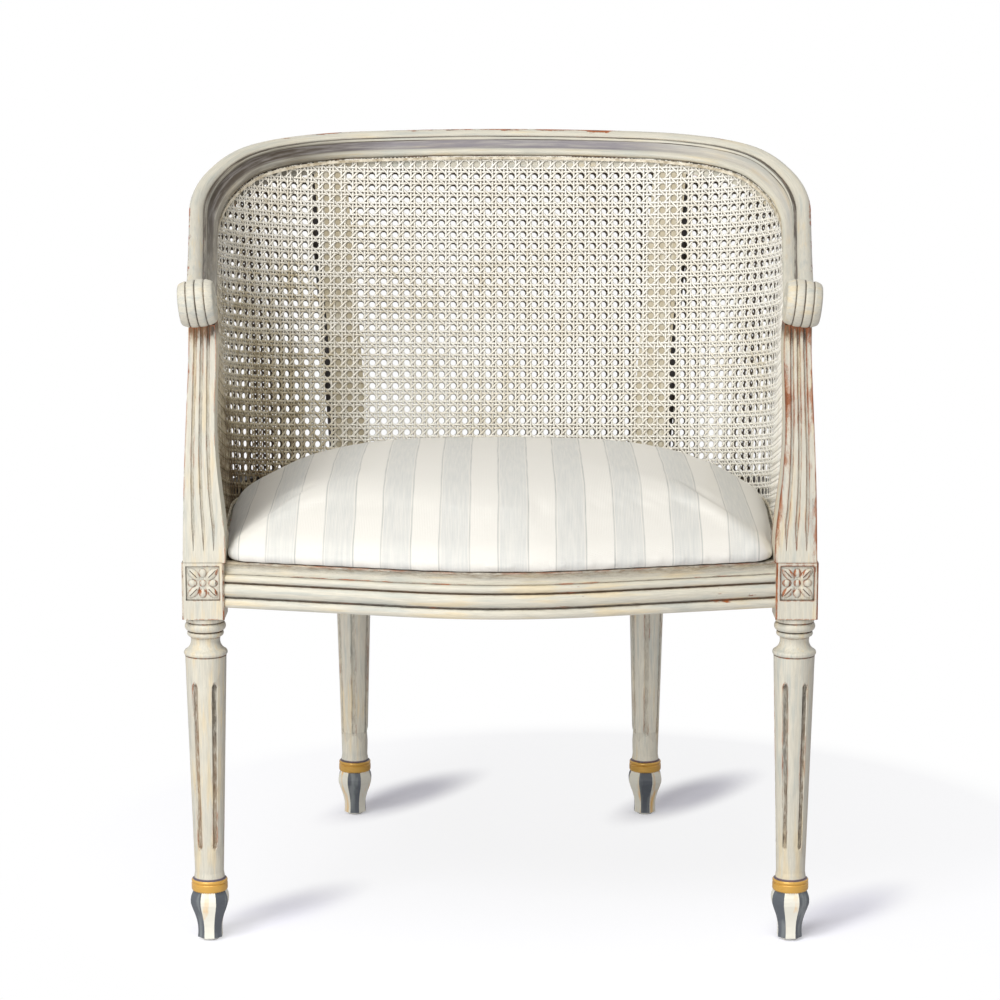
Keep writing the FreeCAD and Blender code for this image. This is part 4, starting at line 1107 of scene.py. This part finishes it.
class CHAIR_OT_paint_frame(bpy.types.Operator):
    """Paint the legs face by face and the seat rails, and leave the hidden wood bare"""
    bl_idname = "chair.paint_frame"
    bl_label = "Paint the frame"

    def execute(self, context):
        look = context.scene.chair_paint
        # Painted shadow and dirt on the post just under the scroll
        scroll_shadow = (POST_TOP - 26, POST_TOP - 4)
        paint = painted_wood("distressed_ivory_paint_legs", leg=True, shade_and_dirt_below=scroll_shadow)
        # Rear legs and their flutes brightened past the front legs' coat: painted light under the
        # seat
        rear = painted_wood("distressed_ivory_paint_rear_legs", leg=True, brightness=1.32)
        # Front flutes darkened deep: dark wax and painted shade in the grooves
        flutes_wax_and_shade = painted_wood("distressed_ivory_paint_flutes", leg=True, wax=0.34)
        rear_flutes_lit = painted_wood("distressed_ivory_paint_rear_flutes", leg=True, wax=0.14,
                                  brightness=1.2)
        chipped = painted_wood("distressed_ivory_paint_corners", leg=True, wear=0.36)
        gold = gold_paint()
        pale = facet_paint("pale_enamel", look.pale, look.honey, 0.6)
        dark = facet_paint("charcoal_enamel", look.charcoal, look.grey, 0.52)
        tan = facet_paint("thin_tan_paint", look.tan, look.ivory, 0.6)
        # Near-black stain for the upright sides and the cane sills inside the cane: stain and
        # painted shade
        shade = facet_paint("dark_stain", look.shade, look.grime_and_shade, 0.5)
        low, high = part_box("rear_glide_right")
        rear_y = (low.y + high.y) * 500 - SHIFT_Y
        for place, x, y, shaft, flutes, facets in (
                ("front", FRONT_LEG_X, 0.0, paint, flutes_wax_and_shade, (pale, dark)),
                ("rear", REAR_LEG_X, rear_y, rear, rear_flutes_lit, (dark, pale))):
            for side, sign in SIDES:
                finishes = (shaft, gold, *facets, flutes, chipped, tan, shade)
                paint_leg(f"{place}_leg_{side}", sign * x, y, finishes)
                dress(plain("clear_nylon", "#DAD9D2", 0.35), f"{place}_glide_{side}")
        # The rails darken just under the cushion's edge: painted shade and wax
        lying = painted_wood("distressed_ivory_paint_rails", grain=(14.0, 14.0, 1.0), wear=0.06,
                             wax=-0.06, shade_and_dirt_below=(SEAT_RAIL_TOP - 9, SEAT_RAIL_TOP + 3))
        dress(lying, "side_seat_rail_left", "side_seat_rail_right", "front_seat_rail",
              "rear_seat_rail")
        # The cane sills, seen through the cane, are painted near-black: painted shade
        dress(shade, "cane_sill_left", "cane_sill_right", "cane_sill_rear")
        dress(beech(), "rail_dowels", "arm_post_dowels", "crest_dowels", "corner_blocks",
              "seat_frame_front", "seat_frame_rear", "seat_frame_left", "seat_frame_right")
        return {"FINISHED"}


class CHAIR_OT_mould_rails(bpy.types.Operator):
    """Mould the crest and the arms of the top rail, with their scrolls"""
    bl_idname = "chair.mould_rails"
    bl_label = "Mould the rails"

    def execute(self, context):
        paint = painted_wood("distressed_ivory_paint_mouldings", section=True)
        rolled = painted_wood("distressed_ivory_paint_scrolls", grain=(3.0, 1.0, 1.0), wear=-0.08,
                              wax=0.08, brightness=0.95)
        crest = sweep("moulded_crest", TOP_SECTION, even_stations(-U_JOINT, U_JOINT, RAIL_STEP))
        finish_piece(crest, paint, "painted_wood", "crest_rail")
        end = u_at_y(RAIL_FRONT_Y)
        for side, sign in SIDES:
            us = even_stations(*sorted((sign * U_JOINT, sign * end)), RAIL_STEP)
            arm = sweep(f"moulded_arm_{side}", TOP_SECTION, us)
            for piece, material in ((arm, paint), (scroll(f"arm_scroll_{side}", sign), rolled),
                                    (post_head(f"arm_shoe_{side}", sign), rolled)):
                finish_piece(piece, material, "painted_wood", "arm_rail_" + side)
        return {"FINISHED"}


class CHAIR_OT_weave_cane(bpy.types.Operator):
    """Weave the inner and the outer sheet of cane"""
    bl_idname = "chair.weave_cane"
    bl_label = "Weave the cane"

    def execute(self, context):
        look = context.scene.chair_cane
        finish = cane_finish()
        for layer, side in (("inner", -1), ("outer", 1)):
            shift = (-look.aside * 1000, -look.drop * 1000) if side > 0 else (0.0, 0.0)
            sheet = Sheet(side, shift)
            edge = math.ceil(sheet.flat_tip[:, 0].max() / (look.pitch * 1000)) + 1
            third = round(edge / 3)
            stretches = (("left", -edge, -third), ("back", -third, third), ("right", third, edge))
            for seed, (place, first, last) in enumerate(stretches):
                piece = weave(f"woven_{layer}_cane_{place}", sheet, look, first, last, seed)
                finish_piece(piece, finish, "cane", layer + "_cane")
        dress(reed(), "inner_cane_splines", "outer_cane_splines")
        return {"FINISHED"}


class CHAIR_OT_pad_seat(bpy.types.Operator):
    """Pad the seat and cover it in ticking"""
    bl_idname = "chair.pad_seat"
    bl_label = "Pad the seat"

    def execute(self, context):
        look = context.scene.chair_seat
        pad = bpy.data.objects.new("padded_seat", frame["nodes"]["seat_cover"].data.copy())
        context.scene.collection.objects.link(pad)
        only(pad)
        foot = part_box("seat_cover")[0].z
        bpy.ops.object.mode_set(mode="EDIT")
        bpy.ops.mesh.select_all(action="SELECT")
        bpy.ops.mesh.remove_doubles(threshold=1e-6)
        # Open the bottom, keep the outer skin alone and close it again
        bpy.ops.mesh.select_all(action="DESELECT")
        shape = bmesh.from_edit_mesh(pad.data)
        for face in shape.faces:
            face.select_set(face.normal.z < -0.9 and face.calc_center_median().z < foot + 0.0001)
        bmesh.update_edit_mesh(pad.data)
        bpy.ops.mesh.delete(type="FACE")
        shape = bmesh.from_edit_mesh(pad.data)
        top = max(shape.verts, key=lambda v: v.co.z)
        top.select_set(True)
        bmesh.update_edit_mesh(pad.data)
        bpy.ops.mesh.select_linked()
        bpy.ops.mesh.select_all(action="INVERT")
        bpy.ops.mesh.delete(type="VERT")
        bpy.ops.mesh.select_all(action="SELECT")
        bpy.ops.mesh.fill_holes(sides=0)
        bpy.ops.mesh.select_all(action="SELECT")
        bpy.ops.transform.resize(value=look.slack, center_override=(0, look.middle, foot))
        bpy.ops.mesh.normals_make_consistent(inside=False)
        bpy.ops.object.mode_set(mode="OBJECT")
        remesh = pad.modifiers.new("even", "REMESH")
        remesh.mode = "VOXEL"
        remesh.voxel_size = look.voxel
        bpy.ops.object.modifier_apply(modifier=remesh.name)
        simulate(pad, look)
        even = pad.modifiers.new("settle", "SMOOTH")
        even.factor = 0.5
        even.iterations = 2
        bpy.ops.object.modifier_apply(modifier=even.name)
        finer = pad.modifiers.new("finer", "SUBSURF")
        finer.levels = 1
        finer.render_levels = 1
        bpy.ops.object.modifier_apply(modifier=finer.name)
        pad.data.shade_smooth()
        finish_piece(pad, ticking(), "seat_fabric", "seat_cover", "seat_foam")
        dress(plain_weave("jute_webbing", "#6E5836", "#B79B6C", 2.2), "seat_webbing")
        dress(plain_weave("hessian", "#7A6544", "#BDA379", 1.8), "seat_deck")
        dress(plain_weave("black_dust_cloth", "#101012", "#2B2B2E", 1.2), "dust_cover")
        dress(plain("zinc_plated_steel", "#9C9DA0", 0.35, metallic=1.0), "seat_screws")
        return {"FINISHED"}


class CHAIR_OT_set_stage(bpy.types.Operator):
    """Set up the floor, the lamps and the camera"""
    bl_idname = "chair.set_stage"
    bl_label = "Set the stage"

    def execute(self, context):
        look = context.scene.chair_studio
        scene = context.scene
        scene.view_settings.view_transform = "Standard"
        bpy.ops.object.select_all(action="DESELECT")
        bpy.ops.mesh.primitive_plane_add(size=FLOOR_SIZE, location=(0, 0, 0))
        floor = context.active_object
        floor.name = "studio_floor"
        coat(floor, paper(look))

        world = bpy.data.worlds.new("studio")
        world.use_nodes = True
        scene.world = world
        tree = world.node_tree
        seen, glossy = (add(tree, "LightPath", out=f"Is {ray} Ray") for ray in ("Camera", "Glossy"))
        seen = add(tree, "Math", (seen, glossy), operation="MAXIMUM")
        tint = add(tree, "Mix", {FACTOR: seen, FIRST: look.air, SECOND: (1, 1, 1, 1)}, **RGBA)
        strength = add(tree, "MapRange", (seen, 0.0, 1.0, look.sky, 1.0))
        feed(tree.nodes["Background"], {"Color": tint, "Strength": strength})

        for name, power, size, place in LAMPS:
            lamp = bpy.data.lights.new(name, "AREA")
            lamp.shape = "DISK"
            lamp.size = size
            lamp.energy = getattr(look, power)
            light = bpy.data.objects.new(name, lamp)
            light.location = place
            light.rotation_mode = "QUATERNION"
            light.rotation_quaternion = (LAMP_AIM - light.location).to_track_quat("-Z", "Y")
            scene.collection.objects.link(light)

        camera = bpy.data.objects.new("camera", bpy.data.cameras.new("camera"))
        camera.data.lens = CAMERA_LENS
        camera.data.sensor_width = 36.0
        camera.location = CAMERA_PLACE
        camera.rotation_euler = (math.radians(CAMERA_PITCH), 0.0, 0.0)
        scene.collection.objects.link(camera)
        scene.camera = camera
        return {"FINISHED"}


class CHAIR_PT_panel(bpy.types.Panel):
    """Steps and settings of the chair"""
    bl_idname = "CHAIR_PT_panel"
    bl_label = "Caned Barrel Armchair"
    bl_space_type = "VIEW_3D"
    bl_region_type = "UI"
    bl_category = "Armchair"

    def draw(self, context):
        for step in STEPS:
            self.layout.operator(step.bl_idname)
        for group, settings in GROUPS.items():
            box = self.layout.box()
            for name in settings.__annotations__:
                box.prop(getattr(context.scene, group), name)


STEPS = (CHAIR_OT_paint_frame, CHAIR_OT_mould_rails, CHAIR_OT_weave_cane, CHAIR_OT_pad_seat,
         CHAIR_OT_set_stage)
GROUPS = {"chair_paint": FramePaint, "chair_cane": CaneWeave, "chair_seat": SeatLook,
          "chair_studio": StudioLook}


def register():
    for group in GROUPS.values():
        bpy.utils.register_class(group)
    for step in STEPS:
        bpy.utils.register_class(step)
    bpy.utils.register_class(CHAIR_PT_panel)
    for name, group in GROUPS.items():
        setattr(bpy.types.Scene, name, PointerProperty(type=group))


def unregister():
    for name in GROUPS:
        delattr(bpy.types.Scene, name)
    bpy.utils.unregister_class(CHAIR_PT_panel)
    for step in reversed(STEPS):
        bpy.utils.unregister_class(step)
    for group in reversed(GROUPS.values()):
        bpy.utils.unregister_class(group)


def main():
    register()
    bpy.ops.chair.paint_frame()
    bpy.ops.chair.mould_rails()
    bpy.ops.chair.weave_cane()
    bpy.ops.chair.pad_seat()
    bpy.ops.chair.set_stage()


if __name__ == "__main__":
    main()
